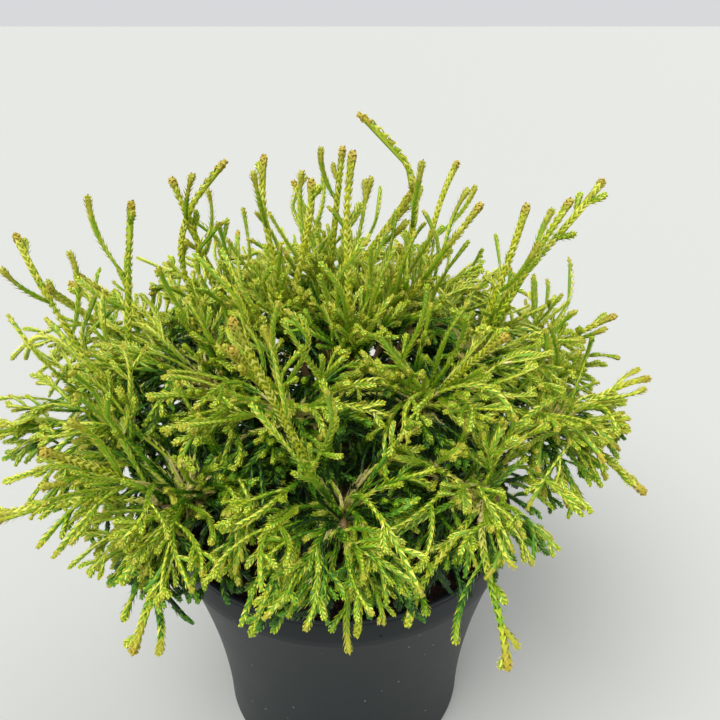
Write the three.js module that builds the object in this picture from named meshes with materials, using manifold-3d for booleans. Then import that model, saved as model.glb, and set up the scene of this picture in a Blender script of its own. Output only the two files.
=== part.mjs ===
/**
 * Dwarf hinoki cypress in a round nursery pot.
 *
 * Millimetres, +Z up. The origin is the middle of the pot's flat underside, the plant's front looks along -Y
 * and +X is to its right. Bearings are degrees about Z from +X towards +Y, rises are degrees above level.
 *
 * A short stem stands in the compost. From it one tapering bough runs to each mass of foliage. A mass is a
 * woody stem that goes on from its bough's tip, with whipcord shoots fused on. Each shoot is a three-sided
 * cord whose rings are turned by a sixth of a turn from one to the next, so that its edges are toothed as
 * pairs of scale leaves are. The shoots are dealt out round the mass's stem by a repeatable rule and grow as
 * far as the crown's outline. One that would leave its mass's own space, or touch a limb, the pot or the
 * compost, is made shorter or left out.
 */
import * as THREE from 'three';
import { mergeVertices } from 'three/addons/utils/BufferGeometryUtils.js';
import Module from 'manifold-3d';

const wasm = await Module();
wasm.setup();

// ---------------------------------------------------------------- driving dimensions

/** Gap between solids that touch on the real plant. */
const CLEAR = 0.3;

const POT = {
  height: 127,
  footRadius: 64.6,
  footChamfer: 1.2,
  wallTopRadius: 83.2,
  flare: 1.87, // power of the height by which the wall opens
  wall: 1.6,
  floor: 3,
  collarHeight: 16,
  collarRadius: 84.2,
  lipRadius: 85,
  lipHeight: 2,
  facets: 28,
  wallSteps: [0.45, 0.8], // shares of the wall's height where its facets bend
  drainHoles: 6,
  drainRadius: 4.5,
  drainCircle: 46,
};

const COMPOST = { edge: 113, crown: 117, crownRadius: 36 };

const STEM = {
  height: 50,
  sunk: 3, // length below the flat cut, before it is cut
  radius: 6.2,
  topRadius: 4.4,
  flare: 4,
  flareHeight: 6,
  lean: [5, 3],
  sides: 9,
  rings: 7,
};

const BOUGH = { rootRadius: 2.4, tipRadius: 1.8, sides: 5, rings: 4, sweep: 0.42 };

/** The crown's outline is half a ball above its waist and half a ball below, both squashed. */
const CROWN = { middle: [-3, 8, 185], across: 150, deep: 138, above: 62, below: 60 };

const MASS = {
  stemLength: 34,
  stemRadius: 1.9,
  leaderRoot: 0.8, // share of the stem's length at which its leaders are rooted
  heart: 146, // height of the point that the axis of every mass points away from
  spread: 84, // degrees from a mass's axis to its widest shoots
};

/** The dense inner part of a mass, round its stem: twigs and old leaves as one lump. */
const CORE = { forward: 17, back: 1, share: 0.62, least: 7, lumps: 0.3, margin: 1.2, rootDepth: 0.55 };

const SHOOT = {
  girth: 3.9, // from a shoot's middle to the tips of its scale leaves
  pitch: 12, // from one ring of leaf tips to the next
  shortest: 24,
  longest: 84,
  arch: 0.07, // how far the middle of a level shoot rises, as a share of its length
  sway: 0.05, // how far the middle of a shoot swings to a side, as a share of its length
};

const FINGER = {
  onlyOver: 70, // length of the leaders that have them
  places: [0.55, 0.78],
  length: 0.36,
  angle: 38,
  shortest: 13,
  longest: 30,
  girth: 2.8,
};

/**
 * The foliage masses, in three tiers. A tier's boughs are seated between two shares of the stem's height,
 * and it has a radius for its masses' cores and a number of shoots for the rule to deal out to each. A
 * mass's hub, where its bough ends, is at a bearing, a distance out and a height. A leader is a long shoot
 * that reaches past the crown's outline: its bearing, rise and length, and for a crooked one the bearing
 * towards which its middle swings, and by how much.
 */
const TIERS = [
  {
    tier: 'low',
    seats: [0.16, 0.42],
    core: 26,
    shoots: 14,
    masses: [
      { side: 'right', hub: [345, 72, 174], leaders: [[340, -31, 51], [0, 31, 46], [273, -30, 38]] },
      { side: 'right_back', hub: [20, 68, 170], leaders: [[337, 42, 60]] },
      { side: 'back_right', hub: [56, 66, 170], leaders: [[60, 18, 66]] },
      { side: 'back', hub: [92, 66, 170], leaders: [[88, 30, 64]] },
      { side: 'back_left', hub: [128, 66, 170], leaders: [[134, 10, 66]] },
      { side: 'left_back', hub: [164, 69, 171], leaders: [[214, 52, 75], [150, 34, 70]] },
      { side: 'left', hub: [196, 72, 172], leaders: [[25, 81, 103], [158, 65, 95], [194, 13, 55]] },
      { side: 'left_front', hub: [228, 70, 168], leaders: [[189, 3, 67], [252, -47, 56], [219, 46, 61]] },
      { side: 'front', hub: [272, 60, 170], leaders: [[221, 67, 103], [283, -60, 43], [208, -45, 56]] },
      { side: 'right_front', hub: [311, 64, 169], leaders: [[275, -41, 64], [231, -29, 59]] },
    ],
  },
  {
    tier: 'mid',
    seats: [0.48, 0.7],
    core: 24,
    shoots: 11,
    masses: [
      { side: 'left', hub: [205, 40, 184], leaders: [[163, 37, 75]] },
      { side: 'front_left', hub: [252, 38, 185], leaders: [[240, 55, 56]] },
      { side: 'front_right', hub: [308, 37, 185], leaders: [[312, 50, 60]] },
      { side: 'right', hub: [0, 40, 184], leaders: [[18, 54, 98], [0, 64, 84], [14, 74, 75]] },
      { side: 'back_right', hub: [52, 40, 184], leaders: [[50, 66, 82]] },
      { side: 'back', hub: [104, 40, 184], leaders: [[110, 60, 70]] },
      { side: 'left_back', hub: [156, 40, 184], leaders: [[56, 85, 85, 180, 22], [164, 74, 80]] },
    ],
  },
  {
    tier: 'top',
    seats: [0.76, 0.96],
    core: 19,
    shoots: 7,
    masses: [
      { side: 'front', hub: [285, 14, 191], leaders: [[85, 84, 84]] },
      { side: 'right', hub: [15, 14, 191], leaders: [[170, 82, 95, 0, 24], [359, 56, 70]] },
      { side: 'back', hub: [105, 14, 191], leaders: [[25, 84, 78], [358, 57, 71]] },
      { side: 'left', hub: [195, 14, 191], leaders: [[145, 83, 80], [45, 78, 70]] },
    ],
  },
];

/** Steps of this share of a whole never bring neighbours close to each other. */
const GOLDEN = 0.618;

/** All masses, each with its name and the share of the stem's height at which its bough is seated. */
const MASSES = TIERS.flatMap(({ tier, seats: [lowest, highest], core, shoots, masses }) => (
  masses.map((mass, index) => ({
    ...mass,
    core,
    shoots,
    name: `${tier}_${mass.side}`,
    seat: lowest + (highest - lowest) * ((index * GOLDEN) % 1),
  }))
));

// ---------------------------------------------------------------- directions, paths and chance

const UP = new THREE.Vector3(0, 0, 1);
const radians = THREE.MathUtils.degToRad;

/** The direction at a bearing and a rise, in degrees. */
function heading(bearing, rise) {
  const level = Math.cos(radians(rise));
  return new THREE.Vector3(
    level * Math.cos(radians(bearing)),
    level * Math.sin(radians(bearing)),
    Math.sin(radians(rise)),
  );
}

/** A repeatable number from 0 to 1 for a mass, one of its shoots and a use of that shoot. */
function chance(mass, shoot, use) {
  let mix = Math.imul(mass + 1, 0x9e3779b1) ^ Math.imul(shoot + 1, 0x85ebca6b);
  mix ^= Math.imul(use + 1, 0xc2b2ae35);
  mix = Math.imul(mix ^ (mix >>> 16), 0x7feb352d);
  mix = Math.imul(mix ^ (mix >>> 15), 0x846ca68b);
  return ((mix ^ (mix >>> 16)) >>> 0) / 2 ** 32;
}

/** The point of a path at a share of its length: a path is a start, a way to its end and a swing. */
function pointOn(path, share) {
  return path.start.clone()
    .addScaledVector(path.way, share)
    .addScaledVector(path.swing, 4 * share * (1 - share));
}

/** The direction of a path at a share of its length. */
function directionOn(path, share) {
  return path.way.clone().addScaledVector(path.swing, 4 - 8 * share).normalize();
}

/** Distance from a place to a path, taken as a few straight links. */
function distanceToPath(place, path, samples = 8) {
  const link = new THREE.Line3();
  const foot = new THREE.Vector3();
  let nearest = Infinity;
  for (let i = 0; i < samples; i += 1) {
    link.set(pointOn(path, i / samples), pointOn(path, (i + 1) / samples));
    link.closestPointToPoint(place, true, foot);
    nearest = Math.min(nearest, foot.distanceTo(place));
  }
  return nearest;
}

// ---------------------------------------------------------------- solids

/** A closed geometry as a solid that can be cut and joined. */
function solidOf(geometry) {
  const bare = geometry.clone();
  bare.deleteAttribute('normal');
  bare.deleteAttribute('uv');
  const merged = mergeVertices(bare, 1e-4);
  return new wasm.Manifold(new wasm.Mesh({
    numProp: 3,
    vertProperties: new Float32Array(merged.attributes.position.array),
    triVerts: new Uint32Array(merged.index.array),
  }));
}

/** A solid as a geometry that a mesh can show. */
function geometryOf(solid) {
  const { vertProperties, triVerts } = solid.getMesh();
  const geometry = new THREE.BufferGeometry();
  geometry.setAttribute('position', new THREE.BufferAttribute(vertProperties, 3));
  geometry.setIndex(new THREE.BufferAttribute(triVerts, 1));
  geometry.computeVertexNormals();
  return geometry;
}

/** The biggest piece of a solid, without its loose scraps and with its sealed hollows filled. */
function biggestPiece(solid) {
  return solid.decompose().sort((a, b) => b.volume() - a.volume())[0];
}

/**
 * A closed limb: a cylinder bent along a path, with a radius for each share of it. Every ring is turned from
 * the one before by turn radians, and the middle of its end stands forward by nose.
 */
function limb(path, { sides, rings, radiusAt, turn = 0, nose = 0 }) {
  const geometry = new THREE.CylinderGeometry(1, 1, 1, sides, rings);
  const place = geometry.attributes.position;
  const level = new THREE.Vector3().crossVectors(directionOn(path, 0), UP).normalize();
  for (let i = 0; i < place.count; i += 1) {
    const share = place.getY(i) + 0.5;
    const along = directionOn(path, share);
    const across = level.clone().addScaledVector(along, -level.dot(along)).normalize();
    const over = new THREE.Vector3().crossVectors(across, along);
    const angle = turn * Math.round(share * rings);
    const radius = radiusAt(share);
    const [x, z] = [place.getX(i), place.getZ(i)];
    const inMiddle = Math.hypot(x, z) < 0.5;
    const point = pointOn(path, share)
      .addScaledVector(across, radius * (x * Math.cos(angle) - z * Math.sin(angle)))
      .addScaledVector(over, radius * (x * Math.sin(angle) + z * Math.cos(angle)));
    if (inMiddle && share > 0.5) point.addScaledVector(along, nose);
    place.setXYZ(i, point.x, point.y, point.z);
  }
  return geometry;
}

/** The part of a path from a share of its length to its end. */
function restOf(path, share) {
  const start = pointOn(path, share);
  const end = pointOn(path, 1);
  const middle = pointOn(path, (1 + share) / 2);
  const way = end.clone().sub(start);
  return { start, way, swing: middle.sub(start.clone().addScaledVector(way, 0.5)) };
}

/** A whipcord shoot: thin where it is rooted, full over most of its length, with a blunt bud at its end. */
function cord(path, girth) {
  const rings = Math.max(2, Math.round(path.way.length() / SHOOT.pitch));
  const radiusAt = (share) => girth * Math.min(1, 0.62 + 2 * share, 0.74 + 1.3 * (1 - share));
  return limb(path, { sides: 3, rings, radiusAt, turn: Math.PI / 3, nose: girth * 0.8 });
}

// ---------------------------------------------------------------- pot and compost

/** Radius of the pot's wall, outside, at a height: it opens by a power of the height, up to the collar. */
function wallRadius(height) {
  const share = height / (POT.height - POT.collarHeight);
  return POT.footRadius + (POT.wallTopRadius - POT.footRadius) * share ** POT.flare;
}

/** Radii and heights of the wall between foot and collar, moved in or out. */
function wallProfile(offset) {
  const wallHeight = POT.height - POT.collarHeight;
  return POT.wallSteps.map((share) => [wallRadius(share * wallHeight) + offset, share * wallHeight]);
}

/** The pot: a flat underside with drain holes, a flaring wall, a collar and a thin lip. */
function potGeometry() {
  const collarFoot = POT.height - POT.collarHeight;
  const lipFoot = POT.height - POT.lipHeight;
  const inside = POT.collarRadius - POT.wall;
  const profile = [
    [0, 0],
    [POT.footRadius - POT.footChamfer, 0],
    [POT.footRadius, POT.footChamfer],
    ...wallProfile(0),
    [POT.wallTopRadius, collarFoot - 1],
    [POT.collarRadius, collarFoot],
    [POT.collarRadius, lipFoot - 0.5],
    [POT.lipRadius, lipFoot],
    [POT.lipRadius, POT.height],
    [inside, POT.height],
    [inside - 0.4, collarFoot],
    ...wallProfile(-POT.wall).reverse(),
    [POT.footRadius - POT.wall, POT.floor],
    [0, POT.floor],
  ].map(([radius, height]) => new THREE.Vector2(radius, height));
  const lathe = new THREE.LatheGeometry(profile, POT.facets);
  lathe.rotateX(Math.PI / 2);
  const drain = new THREE.CylinderGeometry(POT.drainRadius, POT.drainRadius, 4 * POT.floor, 8);
  drain.rotateX(Math.PI / 2);
  drain.translate(POT.drainCircle, 0, 0);
  let pot = solidOf(lathe);
  for (let i = 0; i < POT.drainHoles; i += 1) {
    pot = pot.subtract(solidOf(drain.clone().rotateZ((2 * Math.PI * (i + 0.5)) / POT.drainHoles)));
  }
  return geometryOf(pot);
}

/** The compost: it fills the pot from its floor to below the lip, and is a little higher round the stem. */
function compostGeometry() {
  const inset = -POT.wall - CLEAR;
  const profile = [
    [0, POT.floor + CLEAR],
    [POT.footRadius + inset, POT.floor + CLEAR],
    ...wallProfile(inset),
    [POT.collarRadius + inset - 0.4, COMPOST.edge],
    [(POT.collarRadius + COMPOST.crownRadius) / 2, COMPOST.edge + 2.4],
    [COMPOST.crownRadius, COMPOST.crown],
    [0, COMPOST.crown],
  ].map(([radius, height]) => new THREE.Vector2(radius, height));
  const lathe = new THREE.LatheGeometry(profile, POT.facets);
  lathe.rotateX(Math.PI / 2);
  return geometryOf(solidOf(lathe));
}

// ---------------------------------------------------------------- stem and boughs

const stemPath = {
  start: new THREE.Vector3(0, 0, COMPOST.crown - STEM.sunk),
  way: new THREE.Vector3(STEM.lean[0], STEM.lean[1], STEM.sunk + STEM.height),
  swing: new THREE.Vector3(-1.5, 1, 0),
};

/** The stem's radius: a slow taper, with a root flare over the compost. */
function stemRadius(share) {
  const taper = STEM.radius + (STEM.topRadius - STEM.radius) * share;
  return taper + STEM.flare * Math.exp((-share * STEM.height) / STEM.flareHeight);
}

/** The stem, stouter all over by grow, before its foot is cut flat. */
function stemSolid(grow = 0) {
  return solidOf(limb(stemPath, {
    sides: STEM.sides,
    rings: STEM.rings,
    radiusAt: (share) => stemRadius(share) + grow,
    nose: 1 + grow,
  }));
}

/** The stem, cut flat where it stands on the compost. */
function stemGeometry() {
  const side = 6 * STEM.radius;
  const ground = new THREE.BoxGeometry(side, side, side);
  ground.translate(0, 0, COMPOST.crown + CLEAR - side / 2);
  return geometryOf(stemSolid().subtract(solidOf(ground)));
}

/** A mass's hub, the axis along which its stem goes on from the bough, and two directions square to it. */
function frameOf({ hub: [bearing, out, height] }) {
  const hub = heading(bearing, 0).multiplyScalar(out).setZ(height);
  const axis = hub.clone().sub(new THREE.Vector3(0, 0, MASS.heart)).normalize();
  const side = new THREE.Vector3().crossVectors(UP, axis).normalize();
  return { hub, axis, side, over: new THREE.Vector3().crossVectors(axis, side) };
}

/** A mass's bough: its path from the middle of the stem to the hub, where it runs along the mass's axis. */
function boughPath(mass) {
  const { hub, axis } = frameOf(mass);
  const start = pointOn(stemPath, mass.seat);
  const way = hub.clone().sub(start);
  const bend = hub.clone().addScaledVector(axis, -BOUGH.sweep * way.length());
  const swing = bend.sub(start.clone().addScaledVector(way, 0.5)).multiplyScalar(0.5);
  return { start, way, swing };
}

const boughPaths = MASSES.map(boughPath);

/** A bough: one limb that tapers from its seat on the stem to its tip. */
function boughGeometry(path) {
  const bough = limb(path, {
    sides: BOUGH.sides,
    rings: BOUGH.rings,
    radiusAt: (share) => BOUGH.rootRadius + (BOUGH.tipRadius - BOUGH.rootRadius) * share,
  });
  return geometryOf(biggestPiece(solidOf(bough).subtract(stemSolid(CLEAR))));
}

// ---------------------------------------------------------------- foliage

/** The woody stem that carries a mass's shoots. */
function massStem({ hub, axis }) {
  return {
    start: hub.clone().addScaledVector(axis, CLEAR),
    way: axis.clone().multiplyScalar(MASS.stemLength),
    swing: new THREE.Vector3(),
  };
}

/** How far it is from a place to the crown's outline in a direction. */
function reachOf(place, direction) {
  const [x, y, z] = CROWN.middle;
  const from = place.clone().sub(new THREE.Vector3(x, y, z));
  const across = (height) => {
    const shape = new THREE.Vector3(1 / CROWN.across, 1 / CROWN.deep, 1 / height);
    const scaledFrom = from.clone().multiply(shape);
    const scaledWay = direction.clone().multiply(shape);
    const a = scaledWay.lengthSq();
    const b = scaledFrom.dot(scaledWay);
    const c = scaledFrom.lengthSq() - 1;
    return (-b + Math.sqrt(Math.max(0, b * b - a * c))) / a;
  };
  const reach = across(CROWN.above);
  return from.z + direction.z * reach >= 0 ? reach : across(CROWN.below);
}

/** The path of a shoot: a start, a direction and a length, with its middle arched and swayed. */
function shootPath(start, direction, length, sway, swing) {
  const level = new THREE.Vector3().crossVectors(direction, UP).normalize();
  const arch = SHOOT.arch * length * (1 - direction.z * direction.z);
  return {
    start,
    way: direction.clone().multiplyScalar(length),
    swing: swing ?? level.multiplyScalar(sway * length).setZ(arch),
  };
}

/** The leaders of a mass, rooted past the middle of its stem. */
function leadersOf(mass, index) {
  const stem = massStem(frameOf(mass));
  return mass.leaders.map(([bearing, rise, length, towards, by], shoot) => {
    const sway = SHOOT.sway * (2 * chance(index, shoot, 9) - 1);
    const swing = by ? heading(towards, 0).multiplyScalar(by) : undefined;
    return shootPath(pointOn(stem, MASS.leaderRoot), heading(bearing, rise), length, sway, swing);
  });
}

/**
 * One of the shoots dealt out round a mass's stem. Two series of fractions, which fill their square evenly
 * however many are used, give how wide of the axis it grows and on which side. Wide ones are rooted low.
 */
function dealtShoot(index, frame, shoot, scale) {
  const stem = massStem(frame);
  const wide = (chance(index, 0, 1) + shoot * 0.7548776662) % 1;
  const round = (chance(index, 0, 2) + shoot * 0.569840291) % 1;
  const angle = radians(MASS.spread) * Math.sqrt(wide);
  const turn = 2 * Math.PI * round;
  const direction = frame.axis.clone().multiplyScalar(Math.cos(angle))
    .addScaledVector(frame.side, Math.sin(angle) * Math.cos(turn))
    .addScaledVector(frame.over, Math.sin(angle) * Math.sin(turn));
  const start = pointOn(stem, 0.92 - 0.7 * Math.sqrt(wide));
  const reach = reachOf(start, direction) * (0.84 + 0.24 * chance(index, shoot, 3));
  const sway = SHOOT.sway * (2 * chance(index, shoot, 4) - 1);
  return shootPath(start, direction, Math.min(reach, SHOOT.longest) * scale, sway);
}

/** The two side shoots near a shoot's end, which stand out to both sides of it, level with it. */
function fingersOf(path) {
  return FINGER.places.map((share, i) => {
    const along = directionOn(path, share);
    const side = new THREE.Vector3().crossVectors(along, UP).normalize().multiplyScalar(i % 2 ? -1 : 1);
    const direction = along.multiplyScalar(Math.cos(radians(FINGER.angle)))
      .addScaledVector(side, Math.sin(radians(FINGER.angle)));
    const length = Math.min(FINGER.length * path.way.length() * (1.25 - share * 0.5), FINGER.longest);
    return shootPath(pointOn(path, share), direction, length, 0);
  }).filter((finger) => finger.way.length() > FINGER.shortest);
}

/** Each mass's own stem and leaders, as places: its space is all that is nearer to them than to others. */
const homes = MASSES.map((mass, index) => {
  const paths = [massStem(frameOf(mass)), ...leadersOf(mass, index)];
  return paths.flatMap((path) => {
    const steps = Math.ceil(path.way.length() / 8);
    return Array.from({ length: steps + 1 }, (_, i) => pointOn(path, i / steps));
  });
});

/** Distance from a place to the nearest of some places. */
function nearestOf(place, places) {
  return Math.sqrt(Math.min(...places.map((other) => other.distanceToSquared(place))));
}

/** Is a place, with room for a shoot's girth, in its mass's space and clear of pot, compost and limbs? */
function isFree(place, index, girth) {
  const fromAxis = Math.hypot(place.x, place.y);
  const potTop = fromAxis < POT.lipRadius + girth + 1 ? POT.height + girth + 2 : 20;
  if (place.z < potTop) return false;
  if (distanceToPath(place, stemPath) < STEM.radius + STEM.flare + girth) return false;
  const own = nearestOf(place, homes[index]);
  const room = 2 * girth + 2 * CLEAR;
  if (homes.some((others, other) => other !== index && nearestOf(place, others) < own + room)) return false;
  return boughPaths.every((path) => distanceToPath(place, path) > BOUGH.rootRadius + girth + CLEAR);
}

/**
 * The core of a mass: a ball of few faces, each corner of it moved in until it is free, well inside the
 * crown's outline and in front of the bough's tip.
 */
function coreGeometry(mass, index) {
  const { hub, axis } = frameOf(mass);
  const middle = hub.clone().addScaledVector(axis, CORE.forward);
  const ball = new THREE.IcosahedronGeometry(1, 1);
  const place = ball.attributes.position;
  for (let i = 0; i < place.count; i += 1) {
    const direction = new THREE.Vector3().fromBufferAttribute(place, i).normalize();
    const lump = 1 + CORE.lumps * Math.sin(7 * direction.x + index) * Math.cos(6 * direction.y - index);
    const outline = CORE.share * reachOf(middle, direction);
    let radius = Math.min(mass.core * lump, Math.max(outline, CORE.least));
    const corner = () => middle.clone().addScaledVector(direction, radius);
    const isBehind = () => corner().sub(hub).dot(axis) < CORE.back;
    while (radius > CORE.least && (isBehind() || !isFree(corner(), index, CORE.margin))) radius -= 1;
    place.setXYZ(i, ...corner());
  }
  return ball;
}

/** Is a whole shoot free, from a share of its length to its tip? */
function shootIsFree(path, index, girth, from) {
  const steps = 8;
  for (let i = 0; i <= steps; i += 1) {
    if (!isFree(pointOn(path, from + ((1 - from) * i) / steps), index, girth)) return false;
  }
  return true;
}

/** A mass's shoots: its leaders, the dealt ones as long as their space lets them be, and side shoots. */
function shootsOf(mass, index) {
  const leaders = leadersOf(mass, index);
  const dealt = [];
  const frame = frameOf(mass);
  for (let shoot = 0; dealt.length < mass.shoots && shoot < 4 * mass.shoots; shoot += 1) {
    const lengths = [1, 0.85, 0.7, 0.55];
    const paths = lengths.map((scale) => dealtShoot(index, frame, shoot, scale))
      .filter((path) => path.way.length() >= SHOOT.shortest);
    const fitting = paths.find((path) => shootIsFree(path, index, SHOOT.girth, 0.25));
    if (fitting) dealt.push(fitting);
  }
  const long = leaders.filter((path) => path.way.length() > FINGER.onlyOver);
  const fingers = long.flatMap(fingersOf).filter((path) => shootIsFree(path, index, FINGER.girth, 0.4));
  return { leaders, dealt, fingers };
}

/** A mass of foliage: its stem, core, shoots and side shoots, joined. */
function massGeometry(mass, index) {
  const frame = frameOf(mass);
  const stem = limb(massStem(frame), {
    sides: 5,
    rings: 1,
    radiusAt: (share) => MASS.stemRadius * (1 - 0.3 * share),
  });
  const { leaders, dealt, fingers } = shootsOf(mass, index);
  const middle = frame.hub.clone().addScaledVector(frame.axis, CORE.forward);
  const cords = [...leaders, ...dealt].map((path) => {
    const isSunk = (share) => pointOn(path, share).distanceTo(middle) < CORE.rootDepth * mass.core;
    let root = 0;
    while (isSunk(root + 0.02)) root += 0.02;
    return cord(restOf(path, root), SHOOT.girth);
  });
  const twigs = fingers.map((path) => cord(path, FINGER.girth));
  const parts = [stem, coreGeometry(mass, index), ...cords, ...twigs].map(solidOf);
  return geometryOf(biggestPiece(wasm.Manifold.union(parts).simplify(0.01)));
}

// ---------------------------------------------------------------- the plant

const plastic = new THREE.MeshStandardMaterial({ color: 0x3c4043, roughness: 0.5, metalness: 0 });
const soil = new THREE.MeshStandardMaterial({ color: 0x2a1a14, roughness: 1, metalness: 0 });
const bark = new THREE.MeshStandardMaterial({ color: 0x6b4a33, roughness: 0.9, metalness: 0 });
const foliage = new THREE.MeshStandardMaterial({ color: 0x7d9a2c, roughness: 0.6, metalness: 0 });

const plant = new THREE.Group();

/** Puts a named piece on the plant. */
function place(name, geometry, material) {
  const mesh = new THREE.Mesh(geometry, material);
  mesh.name = name;
  plant.add(mesh);
}

place('pot', potGeometry(), plastic);
place('compost', compostGeometry(), soil);
place('stem', stemGeometry(), bark);
MASSES.forEach((mass, index) => {
  place(`bough_${mass.name}`, boughGeometry(boughPaths[index]), bark);
  place(`foliage_${mass.name}`, massGeometry(mass, index), foliage);
});

export default plant;
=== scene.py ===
"""Dwarf hinoki cypress in a round nursery pot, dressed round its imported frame.

The crown grows by the same rule as the solids do: from a short stem one bough runs to each mass of foliage,
and from the mass's woody stem whipcord shoots are dealt out round its axis as far as the crown's outline.
Here the rule goes on to finer twigs. Each shoot is a thin twig clad in pairs of pointed scale leaves, every
pair turned by a quarter from the one before, with a blunt bud of small scales at its end and side shoots
near it. Lengths are in millimetres and angles in degrees until a mesh is made, which is in metres.
"""

from __future__ import annotations

import logging
import math
from dataclasses import dataclass, field, replace
from enum import Enum, IntEnum

import bpy
import numpy as np
from numpy.typing import NDArray
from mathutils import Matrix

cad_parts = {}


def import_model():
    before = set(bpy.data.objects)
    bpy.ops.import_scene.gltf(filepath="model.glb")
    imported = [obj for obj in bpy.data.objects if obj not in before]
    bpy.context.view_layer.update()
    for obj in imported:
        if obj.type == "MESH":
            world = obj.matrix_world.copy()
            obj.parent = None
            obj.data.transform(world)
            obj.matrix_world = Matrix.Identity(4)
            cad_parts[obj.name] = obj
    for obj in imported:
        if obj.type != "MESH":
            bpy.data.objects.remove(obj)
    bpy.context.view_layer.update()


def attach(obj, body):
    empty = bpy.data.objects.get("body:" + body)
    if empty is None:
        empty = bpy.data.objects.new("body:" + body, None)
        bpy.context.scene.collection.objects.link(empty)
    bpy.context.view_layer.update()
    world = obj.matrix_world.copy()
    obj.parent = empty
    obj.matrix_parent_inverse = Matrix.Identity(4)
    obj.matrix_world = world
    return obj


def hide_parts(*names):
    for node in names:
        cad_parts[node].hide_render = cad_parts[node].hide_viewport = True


Array = NDArray[np.float64]
Numbers = NDArray[np.int64]
Span = tuple[float, float]  # a least value, and how much more chance adds at most
Pair = tuple[float, float]  # a lower and an upper value
Colour = tuple[float, float, float]  # screen red, green and blue
Stops = tuple[tuple[float, Colour], ...]  # places on a ramp, with their colours

Material = bpy.types.Material
Node = bpy.types.Node
NodeSocket = bpy.types.NodeSocket
NodeTree = bpy.types.NodeTree
Object = bpy.types.Object

log = logging.getLogger("cypress")

MM = 0.001
UP = np.array([0.0, 0.0, 1.0])
FLAT = np.array([1.0, 1.0, 0.0])  # a vector times this is what is level of it
GOLDEN_ANGLE = 2.399963  # in radians
GOLDEN_SHARE = 0.618
SQUARE_SHARES = (0.7548776662, 0.569840291)  # the fractions of their multiples fill a square evenly
FIRST_CELL = 4096  # added to a noise cell's numbers, so that none is below nought
CELL_ROW = 8192  # more than a noise has cells in a row
WAVE_CREST = 10.4  # s (1 - s) (1 - 2 s) is at most 1 / 10.4
STEEPEST = 1e-3  # a direction whose level part is shorter counts as upright
POLE_RADIUS = 0.01  # of the ring at which a turned surface meets its axis
LEADER_VIGOUR = 0.9  # only leaders have more
KIND_STEP = 100  # from the numbers of one kind's shoots to the next kind's
BRANCH_STEP = 8  # from the numbers of one shoot's branches to the next shoot's


# ---- names


class Slot(Enum):
    """Material slots of the record."""

    POT = "pot"
    COMPOST = "compost"
    BARK = "bark"
    FOLIAGE = "foliage"


class Tint(Enum):
    """Plain colours of leaves and twigs, as screen red, green and blue, from the shade to the light."""

    DEEP = (0.10, 0.22, 0.03)
    SHADE = (0.21, 0.39, 0.05)
    EMERALD = (0.32, 0.535, 0.09)
    LEAF = (0.465, 0.635, 0.12)
    YELLOW_GREEN = (0.63, 0.72, 0.155)
    LIME = (0.77, 0.78, 0.19)
    PALE_LIME = (0.86, 0.86, 0.38)
    STRAW = (0.86, 0.82, 0.52)
    AMBER = (0.68, 0.68, 0.20)
    RUSSET = (0.70, 0.63, 0.20)
    TAN = (0.64, 0.57, 0.30)
    WOOD = (0.44, 0.35, 0.22)


TINTS = list(Tint)
GREENS = TINTS.index(Tint.PALE_LIME)  # the first tints, from the deep green to lime, are the greens
SHADED_TWIG_TINT = np.array([0, 0, 1, 2, 3, 3, 4, *range(7, len(TINTS))])  # a twig's tint for each tint of its leaves, darker as painted shade between the scales



class Seed(IntEnum):
    """First numbers of chance, to which a mass's own number may be added."""

    BRANCHES = 30
    PLANES = 31
    SCALES = 50
    SCALE_TIPS = 51
    LOOKS = 60
    WARMTH = 77
    DEPTH_SHADE = 78
    ROLLS = 90
    FINGERS = 200
    LUMPS = 301
    CRUMBS = 302
    CHIPS = 401
    STEM_RIDGES = 501
    STEM_FIBRES = 502
    BOUGH_RIDGES = 503


# ---- small mathematics


def unit(vectors: Array) -> Array:
    """Vectors over their own lengths."""
    return vectors / np.maximum(np.linalg.norm(vectors, axis=-1, keepdims=True), 1e-9)


def dot(a: Array, b: Array) -> Array:
    """Scalar products along the last axis, which is kept."""
    return np.sum(a * b, axis=-1, keepdims=True)


def heading(bearing: float, rise: float) -> Array:
    """The unit vector at a bearing from +X towards +Y and a rise above level, both in degrees."""
    b, r = math.radians(bearing), math.radians(rise)
    return np.array([math.cos(r) * math.cos(b), math.cos(r) * math.sin(b), math.sin(r)])


def spanned(span: Span, luck: Array) -> Array:
    """The least value of a span, and a share of what chance may add."""
    least, more = span
    return least + more * luck


def turned(first: Array, second: Array, angle: Array) -> Array:
    """First cos(angle) + second sin(angle), one direction for each angle."""
    return first * np.cos(angle)[:, None] + second * np.sin(angle)[:, None]


def smooth(value: Array, low: float, high: float) -> Array:
    """A ramp from 0 at low to 1 at high, with level ends: t * t * (3 - 2 t)."""
    t = np.clip((value - low) / (high - low), 0.0, 1.0)
    return t * t * (3.0 - 2.0 * t)


def whole_product(a: NDArray[np.uint64], b: int) -> NDArray[np.uint64]:
    """The low 32 bits of a product of whole numbers."""
    return (a * np.uint64(b)) & np.uint64(0xFFFFFFFF)


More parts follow.
